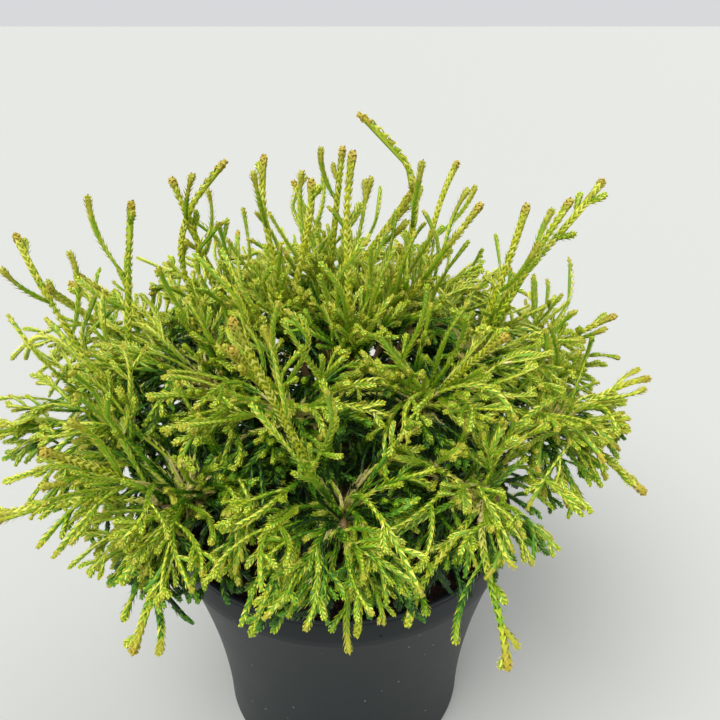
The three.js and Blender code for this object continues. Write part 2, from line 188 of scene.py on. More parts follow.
def chance(mass: int, shoot: Numbers | int, use: Numbers | int) -> Array:
    """A repeatable number from 0 to 1 for a mass, one of its shoots and a use of that shoot.

    Args:
        mass: the mass's number, or another first number.
        shoot: shoot numbers.
        use: what the numbers are for.

    Returns:
        An array of the shape of shoot and use: three whole numbers multiplied, mixed by exclusive or with
        their own shifted bits, and divided by two to the power 32.
    """
    shoots = np.asarray(shoot, dtype=np.uint64) + np.uint64(1)
    uses = np.asarray(use, dtype=np.uint64) + np.uint64(1)
    masses = np.full_like(shoots, mass + 1)
    mix = whole_product(masses, 0x9E3779B1)
    mix = mix ^ whole_product(shoots, 0x85EBCA6B) ^ whole_product(uses, 0xC2B2AE35)
    mix = whole_product(mix ^ (mix >> np.uint64(16)), 0x7FEB352D)
    mix = whole_product(mix ^ (mix >> np.uint64(15)), 0x846CA68B)
    return (mix ^ (mix >> np.uint64(16))).astype(np.float64) / 2.0**32


def cell_noise(places: Array, cell: float, use: int) -> Array:
    """Smooth noise from -1 to 1.

    Args:
        places: points, in millimetres, on the last axis.
        cell: size of a lump.
        use: which noise, so that two noises differ.

    Returns:
        For each place the chances of the eight corners of its cell, blended by t * t * (3 - 2 t).
    """
    scaled = places / cell
    low = np.floor(scaled)
    part = scaled - low
    blend = part * part * (3.0 - 2.0 * part)
    corner = low.astype(np.int64) + FIRST_CELL
    total = np.zeros(places.shape[:-1])
    for i in range(8):
        step = np.array([i & 1, (i >> 1) & 1, (i >> 2) & 1])
        at = corner + step
        value = chance(use, at[..., 0] + at[..., 1] * CELL_ROW, at[..., 2])
        weight = np.prod(np.where(step == 1, blend, 1.0 - blend), axis=-1)
        total += weight * value
    return 2.0 * total - 1.0


# ---- meshes


@dataclass
class Surface:
    """A mesh in the making: corners, faces of one size, and for each face the number of its tint."""

    corners: Array
    faces: Numbers
    tints: Numbers | None = None

    def __post_init__(self) -> None:
        """Faces without tints all have the first one."""
        if self.tints is None:
            self.tints = np.zeros(len(self.faces), dtype=np.int64)

    @staticmethod
    def joined(surfaces: list[Surface]) -> Surface:
        """Puts several surfaces together.

        Args:
            surfaces: surfaces with faces of the same size.

        Returns:
            One surface with all their faces.
        """
        offsets = np.cumsum([0] + [len(s.corners) for s in surfaces[:-1]])
        return Surface(
            np.concatenate([s.corners for s in surfaces]),
            np.concatenate([s.faces + offset for s, offset in zip(surfaces, offsets)]),
            np.concatenate([s.tints for s in surfaces]),
        )

    def build(
        self, name: str, materials: list[Material], is_smooth: bool = True
    ) -> Object:
        """Puts the surface into a Blender mesh.

        Args:
            name: the piece's name.
            materials: its materials, in the order of the tints' numbers.
            is_smooth: are its faces shaded smooth?

        Returns:
            The object, at the origin, with its place in its mesh.
        """
        mesh = bpy.data.meshes.new(name)
        count, size = self.faces.shape
        mesh.vertices.add(len(self.corners))
        mesh.vertices.foreach_set("co", (self.corners * MM).astype(np.float32).ravel())
        mesh.loops.add(count * size)
        mesh.loops.foreach_set("vertex_index", self.faces.astype(np.int32).ravel())
        mesh.polygons.add(count)
        mesh.polygons.foreach_set("loop_start", np.arange(0, count * size, size, dtype=np.int32))
        mesh.polygons.foreach_set("material_index", self.tints.astype(np.int32))
        mesh.polygons.foreach_set("use_smooth", np.full(count, is_smooth))
        mesh.update(calc_edges=True)
        for material in materials:
            mesh.materials.append(material)
        piece = bpy.data.objects.new(name, mesh)
        bpy.context.scene.collection.objects.link(piece)
        return piece


def grid_faces(rows: int, columns: int) -> Numbers:
    """Four-sided faces of a grid of corners whose last column joins the first.

    Args:
        rows: corners along the profile.
        columns: corners round it.

    Returns:
        Corner numbers, one face to a row, that point outwards where a profile runs up and columns turn from
        +X towards +Y.
    """
    i, j = np.meshgrid(np.arange(rows - 1), np.arange(columns), indexing="ij")
    k = (j + 1) % columns
    low, high = i * columns, (i + 1) * columns
    return np.stack([low + j, low + k, high + k, high + j], axis=-1).reshape(-1, 4)


def disc_faces(columns: int) -> Numbers:
    """Four-sided faces that close a flat ring of an even number of corners, in a row from side to side."""
    j = np.arange(columns // 2 - 1)
    return np.stack([j, j + 1, columns - 2 - j, columns - 1 - j], axis=-1)


def arc(middle: float, height: float, radius: float, degrees: Array) -> Array:
    """Radii and heights on part of a profile's circle: middle + radius cos a, height + radius sin a."""
    angle = np.radians(degrees)
    return np.stack([middle + radius * np.cos(angle), height + radius * np.sin(angle)], axis=-1)


def lathe(profile: Array, columns: int) -> Surface:
    """A closed surface of revolution about Z.

    Args:
        profile: radii and heights, from the underside's middle round the outside to the top's or floor's.
        columns: corners round it, an even number.

    Returns:
        The corner at row i and column j is at radius r_i, bearing 360 j / columns and height z_i. The first
        row's ring is closed by faces that point down, and the last one's by faces that point up.
    """
    angle = np.arange(columns) * (2.0 * math.pi / columns)
    radius, height = profile[:, :1], profile[:, 1:]
    height = np.broadcast_to(height, (len(profile), columns))
    corners = np.stack([radius * np.cos(angle), radius * np.sin(angle), height], axis=-1)
    disc = disc_faces(columns)
    last_ring = (len(profile) - 1) * columns
    faces = np.concatenate([grid_faces(len(profile), columns), disc[:, ::-1], disc + last_ring])
    return Surface(corners.reshape(-1, 3), faces)


# ---- paths


@dataclass
class Paths:
    """Several curved paths. Each is a start, a way to its end, a swing of its middle and a wave along it."""

    start: Array
    way: Array
    swing: Array
    wave: Array | None = None

    def __post_init__(self) -> None:
        """Paths without waves have waves of no height."""
        if self.wave is None:
            self.wave = np.zeros_like(self.way)

    @property
    def length(self) -> Array:
        """Straight distance from start to end of each path."""
        return np.linalg.norm(self.way, axis=-1)

    def at(self, share: Array) -> Array:
        """Points on the paths.

        Args:
            share: shares of the lengths, one for each path or a row for each.

        Returns:
            At share s: start + way s + swing 4 s (1 - s) + wave crest s (1 - s) (1 - 2 s).
        """
        s = share[..., None]
        start, way, swing, wave = (
            self._wide(vectors, share) for vectors in (self.start, self.way, self.swing, self.wave)
        )
        bend = 4.0 * swing + WAVE_CREST * (1.0 - 2.0 * s) * wave
        return start + way * s + s * (1.0 - s) * bend

    def along(self, share: Array) -> Array:
        """Directions of the paths.

        Args:
            share: shares of the lengths, one for each path or a row for each.

        Returns:
            At share s: way + swing (4 - 8 s) + wave crest (1 - 6 s + 6 s s), over its own length.
        """
        s = share[..., None]
        way, swing, wave = (self._wide(vectors, share) for vectors in (self.way, self.swing, self.wave))
        return unit(way + swing * (4.0 - 8.0 * s) + wave * (WAVE_CREST * (1.0 - 6.0 * s + 6.0 * s * s)))

    @staticmethod
    def _wide(vectors: Array, share: Array) -> Array:
        """Vectors with an axis for the shares, where the shares have one."""
        return vectors[:, None, :] if share.ndim == 2 else vectors

    def pick(self, chosen: NDArray) -> Paths:
        """Some of the paths."""
        return Paths(self.start[chosen], self.way[chosen], self.swing[chosen], self.wave[chosen])

    @staticmethod
    def joined(several: list[Paths]) -> Paths:
        """Puts several sets of paths one after the other.

        Args:
            several: the sets.

        Returns:
            All their paths.
        """
        parts = zip(*((paths.start, paths.way, paths.swing, paths.wave) for paths in several))
        return Paths(*(np.concatenate(part) for part in parts))


def side_frame(along: Array, hint: Array) -> tuple[Array, Array]:
    """Two directions square to each path: a hint made square to it, and its vector product with the path."""
    across = unit(hint - along * dot(hint, along))
    return across, np.cross(across, along)


def level_hint(paths: Paths) -> Array:
    """A level direction square to each path's start, which its whole length keeps as its hint.

    Args:
        paths: the paths.

    Returns:
        One unit vector for each path.
    """
    first = unit(paths.way + 4.0 * paths.swing)
    level = np.cross(first, UP)
    is_upright = np.linalg.norm(level, axis=-1, keepdims=True) < STEEPEST
    return unit(np.where(is_upright, np.array([1.0, 0.0, 0.0]), level))


def limb_surface(
    paths: Paths,
    sides: int,
    rings: int,
    radius: Array,
    share: Array | None = None,
    nose: Array | float = 0.0,
) -> Surface:
    """Closed round limbs along paths.

    Args:
        paths: the limbs' middles.
        sides: corners round a limb.
        rings: stretches along a limb.
        radius: one radius for each path and ring, or for each path, ring and side.
        share: where the rings are, as shares of the paths' lengths, or nothing for even stretches.
        nose: how far the middle of the end stands forward.

    Returns:
        For each path, rings of corners at point(s) + r (across cos a + over sin a), and a corner in the
        middle of each end, joined by triangles.
    """
    count = len(paths.start)
    if share is None:
        share = np.broadcast_to(np.linspace(0.0, 1.0, rings + 1), (count, rings + 1))
    point, along = paths.at(share), paths.along(share)
    across, over = side_frame(along, level_hint(paths)[:, None, :])
    angle = np.arange(sides) * (2.0 * math.pi / sides)
    if radius.ndim == 2:
        radius = radius[..., None]
    ring = (
        point[:, :, None, :]
        + (radius * np.cos(angle))[..., None] * across[:, :, None, :]
        + (radius * np.sin(angle))[..., None] * over[:, :, None, :]
    )
    first = point[:, :1]
    last = point[:, -1:] + along[:, -1:] * np.asarray(nose, dtype=float).reshape(-1, 1, 1)
    corners = np.concatenate([ring.reshape(count, -1, 3), first, last], axis=1)
    quads = grid_faces(rings + 1, sides)
    sheet = np.concatenate([quads[:, [0, 3, 1]], quads[:, [1, 3, 2]]])
    here = np.arange(sides)
    there = (here + 1) % sides
    foot, head = (rings + 1) * sides, (rings + 1) * sides + 1
    end = rings * sides
    caps = np.concatenate(
        [
            np.stack([np.full(sides, foot), here, there], axis=-1),
            np.stack([np.full(sides, head), end + there, end + here], axis=-1),
        ]
    )
    faces = np.concatenate([sheet, caps])
    offset = (np.arange(count) * corners.shape[1])[:, None, None]
    return Surface(corners.reshape(-1, 3), (faces + offset).reshape(-1, 3))


# ---- node helpers


class Nodes:
    """A node tree with short ways to add nodes and links."""

    def __init__(self, tree: NodeTree) -> None:
        """Takes the tree that nodes are added to."""
        self.tree = tree

    def add(self, kind: str, **settings: object) -> Node:
        """Adds a node.

        Args:
            kind: the node's Blender type.
            settings: its properties by name, and its inputs by name with underscores for spaces.

        Returns:
            The node.
        """
        node = self.tree.nodes.new(kind)
        for name, value in settings.items():
            socket = node.inputs.get(name.replace("_", " "))
            if socket is not None and not hasattr(node, name):
                socket.default_value = value
            else:
                setattr(node, name, value)
        return node

    def link(self, output: NodeSocket, target: NodeSocket) -> None:
        """Joins an output to an input."""
        self.tree.links.new(output, target)

    def ramp(self, source: NodeSocket, stops: Stops) -> Node:
        """Adds a colour ramp behind a value.

        Args:
            source: the value.
            stops: its places and colours.

        Returns:
            The ramp node.
        """
        node = self.add("ShaderNodeValToRGB")
        ramp = node.color_ramp
        while len(ramp.elements) < len(stops):
            ramp.elements.new(0.5)
        for element, (place, colour) in zip(ramp.elements, stops):
            element.position = place
            element.color = linear(colour)
        self.link(source, node.inputs["Fac"])
        return node


def linear(colour: Colour) -> tuple[float, float, float, float]:
    """A screen colour as light: each part to the power 2.2, and opaque."""
    red, green, blue = (part**2.2 for part in colour)
    return red, green, blue, 1.0


def node_group(
    name: str, inputs: dict[str, float], outputs: list[str]
) -> tuple[NodeTree, Nodes]:
    """Makes a shader node group with number inputs and outputs.

    Args:
        name: the group's name.
        inputs: number inputs by name, with their usual values.
        outputs: number outputs.

    Returns:
        The group and a helper for its nodes.
    """
    group = bpy.data.node_groups.new(name, "ShaderNodeTree")
    for label, value in inputs.items():
        socket = group.interface.new_socket(name=label, in_out="INPUT", socket_type="NodeSocketFloat")
        socket.default_value = value
    for label in outputs:
        group.interface.new_socket(name=label, in_out="OUTPUT", socket_type="NodeSocketFloat")
    return group, Nodes(group)


def fibre_group() -> NodeTree:
    """Fibres that run along Z: noise on Object coordinates, squeezed along Z, as a value and a height.

    Returns:
        A group with inputs Scale and Stretch and outputs Value and Height.
    """
    group, nodes = node_group("fibres", {"Scale": 400.0, "Stretch": 0.15}, ["Value", "Height"])
    given, given_out = nodes.add("NodeGroupInput"), nodes.add("NodeGroupOutput")
    place = nodes.add("ShaderNodeTexCoord")
    squeeze = nodes.add("ShaderNodeCombineXYZ", X=1.0, Y=1.0)
    nodes.link(given.outputs["Stretch"], squeeze.inputs["Z"])
    product = nodes.add("ShaderNodeVectorMath", operation="MULTIPLY")
    nodes.link(place.outputs["Object"], product.inputs[0])
    nodes.link(squeeze.outputs["Vector"], product.inputs[1])
    noise = nodes.add("ShaderNodeTexNoise", Detail=5.0, Roughness=0.6, Distortion=0.4)
    nodes.link(product.outputs["Vector"], noise.inputs["Vector"])
    nodes.link(given.outputs["Scale"], noise.inputs["Scale"])
    sharp = nodes.add("ShaderNodeMath", operation="POWER")
    sharp.inputs[1].default_value = 1.6
    nodes.link(noise.outputs["Fac"], sharp.inputs[0])
    nodes.link(noise.outputs["Fac"], given_out.inputs["Value"])
    nodes.link(sharp.outputs["Value"], given_out.inputs["Height"])
    return group


def speckle_group() -> NodeTree:
    """Scattered specks: the nearest-point distance of a cell pattern, kept where it is small in few cells.

    Returns:
        A group with inputs Scale, Size and Share and the output Mask.
    """
    group, nodes = node_group("specks", {"Scale": 300.0, "Size": 0.2, "Share": 0.3}, ["Mask"])
    given, given_out = nodes.add("NodeGroupInput"), nodes.add("NodeGroupOutput")
    place = nodes.add("ShaderNodeTexCoord")
    cells = nodes.add("ShaderNodeTexVoronoi", Randomness=1.0)
    nodes.link(place.outputs["Object"], cells.inputs["Vector"])
    nodes.link(given.outputs["Scale"], cells.inputs["Scale"])
    near = nodes.add("ShaderNodeMath", operation="LESS_THAN")
    nodes.link(cells.outputs["Distance"], near.inputs[0])
    nodes.link(given.outputs["Size"], near.inputs[1])
    split = nodes.add("ShaderNodeSeparateColor")
    nodes.link(cells.outputs["Color"], split.inputs["Color"])
    rare = nodes.add("ShaderNodeMath", operation="LESS_THAN")
    nodes.link(split.outputs["Red"], rare.inputs[0])
    nodes.link(given.outputs["Share"], rare.inputs[1])
    both = nodes.add("ShaderNodeMath", operation="MULTIPLY")
    nodes.link(near.outputs["Value"], both.inputs[0])
    nodes.link(rare.outputs["Value"], both.inputs[1])
    nodes.link(both.outputs["Value"], given_out.inputs["Mask"])
    return group


def grain_group() -> NodeTree:
    """Even grain: fine noise on Object coordinates, and broad noise for slow changes.

    Returns:
        A group with inputs Fine and Broad, both scales, and outputs Grain and Drift.
    """
    group, nodes = node_group("grain", {"Fine": 900.0, "Broad": 14.0}, ["Grain", "Drift"])
    given, given_out = nodes.add("NodeGroupInput"), nodes.add("NodeGroupOutput")
    place = nodes.add("ShaderNodeTexCoord")
    for scale, output, detail in (("Fine", "Grain", 3.0), ("Broad", "Drift", 4.0)):
        noise = nodes.add("ShaderNodeTexNoise", Detail=detail, Roughness=0.55)
        nodes.link(place.outputs["Object"], noise.inputs["Vector"])
        nodes.link(given.outputs[scale], noise.inputs["Scale"])
        nodes.link(noise.outputs["Fac"], given_out.inputs[output])
    return group


@dataclass
class Patterns:
    """The node groups that the finishes share, built once."""

    fibres: NodeTree = field(default_factory=fibre_group)
    specks: NodeTree = field(default_factory=speckle_group)
    grain: NodeTree = field(default_factory=grain_group)


@dataclass
class Workbench:
    """A new material with its surface shader at hand."""

    name: str

    def __post_init__(self) -> None:
        """Makes the material."""
        self.material = bpy.data.materials.new(self.name)
        self.material.use_nodes = True
        self.nodes = Nodes(self.material.node_tree)
        self.shader = next(n for n in self.material.node_tree.nodes if n.type == "BSDF_PRINCIPLED")

    def set(self, **values: object) -> None:
        """Sets plain values on the shader's sockets, by name with underscores for spaces."""
        for name, value in values.items():
            self.shader.inputs[name.replace("_", " ")].default_value = value

    def bump(self, height: NodeSocket, strength: float, distance: float) -> None:
        """Lays a height on the surface.

        Args:
            height: the height from 0 to 1.
            strength: how strongly it shows.
            distance: its depth in metres.
        """
        node = self.nodes.add("ShaderNodeBump", Strength=strength, Distance=distance)
        self.nodes.link(height, node.inputs["Height"])
        self.nodes.link(node.outputs["Normal"], self.shader.inputs["Normal"])

    def product(self, first: Node, second: Node) -> None:
        """Colours the surface with one colour ramp multiplied by another.

        Args:
            first: a colour ramp.
            second: the other.
        """
        mix = self.nodes.add("ShaderNodeMix", data_type="RGBA", blend_type="MULTIPLY")
        mix.inputs["Factor"].default_value = 1.0
        self.nodes.link(first.outputs["Color"], mix.inputs["A"])
        self.nodes.link(second.outputs["Color"], mix.inputs["B"])
        self.nodes.link(mix.outputs["Result"], self.shader.inputs["Base Color"])


# ---- finishes


@dataclass(frozen=True)
class LeafFinish:
    """Satin leaves: one plain colour for each tint, and a duller surface where they are old or buds."""

    roughness: float = 0.5
    dull_roughness: float = 0.62
    dull: tuple[Tint, ...] = (Tint.STRAW, Tint.AMBER, Tint.RUSSET, Tint.WOOD)

    def materials(self) -> list[Material]:
        """Makes the materials of the leaves.

        Returns:
            One for each tint, in the tints' order.
        """
        made = []
        for tint in TINTS:
            bench = Workbench(f"foliage_{tint.name.lower()}")
            roughness = self.dull_roughness if tint in self.dull else self.roughness
            bench.set(Base_Color=linear(tint.value), Roughness=roughness)
            made.append(bench.material)
        return made


@dataclass(frozen=True)
class PlasticFinish:
    """Dark grey moulded plastic with a satin sheen and a little dust. Scales are features to a metre."""

    dark: Colour = (0.084, 0.118, 0.124)
    light: Colour = (0.116, 0.150, 0.156)
    tone_range: Pair = (0.35, 0.7)
    dust: Colour = (0.55, 0.56, 0.56)
    dust_scale: float = 260.0
    dust_size: float = 0.11
    dust_share: float = 0.10
    grain_scale: float = 1400.0
    drift_scale: float = 22.0
    sheen: float = 0.3
    smoothest: float = 0.36
    roughest: float = 0.56
    relief: float = 0.12
    relief_depth: float = 0.0002  # in metres

    def material(self, patterns: Patterns) -> Material:
        """Builds the plastic.

        Args:
            patterns: the shared node groups.

        Returns:
            A material with a slow drift of tone and roughness, specks of dust and a fine grain.
        """
        bench = Workbench("pot_plastic")
        bench.set(Specular_IOR_Level=self.sheen)
        nodes = bench.nodes
        scales = {"Fine": self.grain_scale, "Broad": self.drift_scale}
        grain = nodes.add("ShaderNodeGroup", node_tree=patterns.grain, **scales)
        low, high = self.tone_range
        tone = nodes.ramp(grain.outputs["Drift"], ((low, self.dark), (high, self.light)))
        dust = {"Scale": self.dust_scale, "Size": self.dust_size, "Share": self.dust_share}
        specks = nodes.add("ShaderNodeGroup", node_tree=patterns.specks, **dust)
        mix = nodes.add("ShaderNodeMix", data_type="RGBA")
        nodes.link(specks.outputs["Mask"], mix.inputs["Factor"])
        nodes.link(tone.outputs["Color"], mix.inputs["A"])
        mix.inputs["B"].default_value = linear(self.dust)
        nodes.link(mix.outputs["Result"], bench.shader.inputs["Base Color"])
        rough = nodes.add("ShaderNodeMapRange", To_Min=self.smoothest, To_Max=self.roughest)
        nodes.link(grain.outputs["Drift"], rough.inputs["Value"])
        nodes.link(rough.outputs["Result"], bench.shader.inputs["Roughness"])
        bench.bump(grain.outputs["Grain"], self.relief, self.relief_depth)
        return bench.material


@dataclass(frozen=True)
class CompostFinish:
    """Moist bark compost: dark red-brown chips with paler fibres. Scales are features to a metre."""

    chips: Stops = (
        (0.0, (0.08, 0.05, 0.04)),
        (0.45, (0.19, 0.10, 0.075)),
        (0.8, (0.30, 0.155, 0.105)),
        (1.0, (0.42, 0.27, 0.18)),
    )
    shade: Stops = ((0.3, (0.45, 0.42, 0.40)), (0.75, (1.0, 1.0, 1.0)))
    chip_scale: float = 190.0
    fibre_scale: float = 700.0
    roughness: float = 0.85
    relief: float = 0.6
    relief_depth: float = 0.0012  # in metres

    def material(self, patterns: Patterns) -> Material:
        """Builds the compost.

        Args:
            patterns: the shared node groups.

        Returns:
            A material with a colour for each cell of a chip's size, fibres over it and a rough height.
        """
        bench = Workbench("compost_bark_chips")
        nodes = bench.nodes
        place = nodes.add("ShaderNodeTexCoord")
        cells = nodes.add("ShaderNodeTexVoronoi", Scale=self.chip_scale)
        nodes.link(place.outputs["Object"], cells.inputs["Vector"])
        split = nodes.add("ShaderNodeSeparateColor")
        nodes.link(cells.outputs["Color"], split.inputs["Color"])
        chips = nodes.ramp(split.outputs["Red"], self.chips)
        even = {"Scale": self.fibre_scale, "Stretch": 1.0}
        fibres = nodes.add("ShaderNodeGroup", node_tree=patterns.fibres, **even)
        shade = nodes.ramp(fibres.outputs["Value"], self.shade)
        bench.product(chips, shade)
        bench.set(Roughness=self.roughness)
        bench.bump(fibres.outputs["Height"], self.relief, self.relief_depth)
        return bench.material


@dataclass(frozen=True)
class BarkFinish:
    """Thin fibrous bark, brown with paler and redder strips. Scales are features to a metre."""

    strips: Stops = ((0.25, (0.20, 0.13, 0.09)), (0.5, (0.38, 0.26, 0.17)), (0.75, (0.55, 0.42, 0.29)))
    tone: Stops = ((0.3, (0.75, 0.68, 0.62)), (0.7, (1.0, 1.0, 1.0)))
    fibre_scale: float = 650.0
    stretch: float = 0.22
    grain_scale: float = 1200.0
    drift_scale: float = 60.0
    roughness: float = 0.9
    relief: float = 0.7
    relief_depth: float = 0.0008  # in metres

    def material(self, patterns: Patterns) -> Material:
        """Builds the bark.

        Args:
            patterns: the shared node groups.

        Returns:
            A material with fibres along the limbs in its colour and height, and a slow drift of tone.
        """
        bench = Workbench("bark")
        nodes = bench.nodes
        along = {"Scale": self.fibre_scale, "Stretch": self.stretch}
        fibres = nodes.add("ShaderNodeGroup", node_tree=patterns.fibres, **along)
        strips = nodes.ramp(fibres.outputs["Value"], self.strips)
        scales = {"Fine": self.grain_scale, "Broad": self.drift_scale}
        grain = nodes.add("ShaderNodeGroup", node_tree=patterns.grain, **scales)
        tone = nodes.ramp(grain.outputs["Drift"], self.tone)
        bench.product(strips, tone)
        bench.set(Roughness=self.roughness)
        bench.bump(fibres.outputs["Height"], self.relief, self.relief_depth)
        return bench.material


# ---- pot and compost


@dataclass
class Pot:
    """The round nursery pot: a flaring wall, a collar, a thin lip and drain holes in a flat underside."""

    height: float = 127.0
    foot_radius: float = 64.6
    wall_top: float = 83.2
    flare: float = 1.87
    wall: float = 1.6
    floor: float = 3.0
    collar_height: float = 16.0
    collar_radius: float = 84.2
    lip_radius: float = 85.0
    lip_height: float = 2.0
    groove: float = 0.75  # depth of the one under the lip
    foot_round: float = 1.2
    drain_holes: int = 6
    drain_radius: float = 4.5
    drain_circle: float = 46.0
    drain_sides: int = 24
    middle_ring: float = 30.0  # radius of a ring of corners within the floor and the underside
    apart: float = 1.0  # from the wall's rows to the foot's rounding and to the collar
    columns: int = 180
    wall_rows: int = 44
    foot_rows: int = 6
    lip_rows: int = 11

    @property
    def collar_foot(self) -> float:
        """Height of the collar's lower edge."""
        return self.height - self.collar_height

    def wall_radius(self, height: Array) -> Array:
        """Outer radius at a height: foot + (top - foot) * (height / collar foot) to the power flare."""
        share = height / self.collar_foot
        return self.foot_radius + (self.wall_top - self.foot_radius) * share**self.flare

    def profile(self) -> Array:
        """The pot's section.

        Returns:
            Radii and heights from the middle of the underside up the outside, over the lip and down the
            inside to the middle of the floor. Foot and lip are arcs, and the wall follows wall_radius.
        """
        foot_middle = self.foot_radius - self.foot_round
        foot = arc(foot_middle, self.foot_round, self.foot_round, np.linspace(-90.0, 0.0, self.foot_rows))
        heights = np.linspace(self.foot_round + self.apart, self.collar_foot - self.apart, self.wall_rows)
        outside = np.stack([self.wall_radius(heights), heights], axis=-1)
        lip_foot = self.height - self.lip_height
        half = self.lip_height / 2
        lip = arc(self.lip_radius - half, self.height - half, half, np.linspace(-90.0, 150.0, self.lip_rows))
        groove = self.collar_radius - self.groove
        collar = np.array(
            [
                # the narrow corner between the wall and the collar
                [self.wall_top - 0.05, self.collar_foot - 0.5],
                [self.wall_top + 0.15, self.collar_foot - 0.15],
                # the collar's rounded lower edge, and its upright face
                [self.collar_radius - 0.25, self.collar_foot + 0.05],
                [self.collar_radius, self.collar_foot + 0.4],
                [self.collar_radius, self.collar_foot + 4.0],
                [self.collar_radius, lip_foot - 2.1],
                # the way into the groove under the lip
                [self.collar_radius - 0.1, lip_foot - 1.4],
                [groove, lip_foot - 0.9],
                [groove, lip_foot - 0.2],
            ]
        )
        inner = self.collar_radius - self.wall
        inside_top = np.array([[inner, self.height - 2.4], [inner - 0.1, self.collar_foot + 4.0]])
        back = heights[::-1]
        inside = np.stack([self.wall_radius(back) - self.wall, back], axis=-1)
        inside = inside[inside[:, 1] > self.floor + 0.5]
        floor_edge = self.foot_radius - self.wall - 0.4
        end = np.array([[radius, self.floor] for radius in (floor_edge, self.middle_ring, POLE_RADIUS)])
        start = np.array([[POLE_RADIUS, 0.0], [self.middle_ring, 0.0]])
        return np.concatenate([start, foot, outside, collar, lip, inside_top, inside, end])

    def drills(self) -> Surface:
        """Makes upright rods where the drain holes are.

        Returns:
            One surface of them all, from 1.5 floors below the pot's underside to 2.5 floors above it.
        """
        angle = np.radians(360.0 / self.drain_holes * (np.arange(self.drain_holes) + 0.5))
        spot = self.drain_circle * np.stack([np.cos(angle), np.sin(angle), 0 * angle], axis=-1)
        rise = np.broadcast_to(UP * (4.0 * self.floor), spot.shape)
        paths = Paths(spot - UP * (1.5 * self.floor), rise, 0.0 * spot)
        return limb_surface(paths, self.drain_sides, 1, np.full((self.drain_holes, 2), self.drain_radius))

    def build(self, finish: Material) -> Object:
        """Builds the pot.

        Args:
            finish: its material.

        Returns:
            The profile turned about Z, with a round hole cut at each drain.
        """
        pot = lathe(self.profile(), self.columns).build("pot_moulded", [finish])
        drill = self.drills().build("drain_drill", [finish], is_smooth=False)
        cut = pot.modifiers.new("drains", "BOOLEAN")
        cut.operation = "DIFFERENCE"
        cut.solver = "EXACT"
        cut.object = drill
        view = bpy.context.evaluated_depsgraph_get()
        whole = pot.data
        pot.data = bpy.data.meshes.new_from_object(pot.evaluated_get(view))
        pot.modifiers.clear()
        pot.data.name = "pot_moulded"
        bpy.data.meshes.remove(whole)
        bpy.data.objects.remove(drill)
        return pot


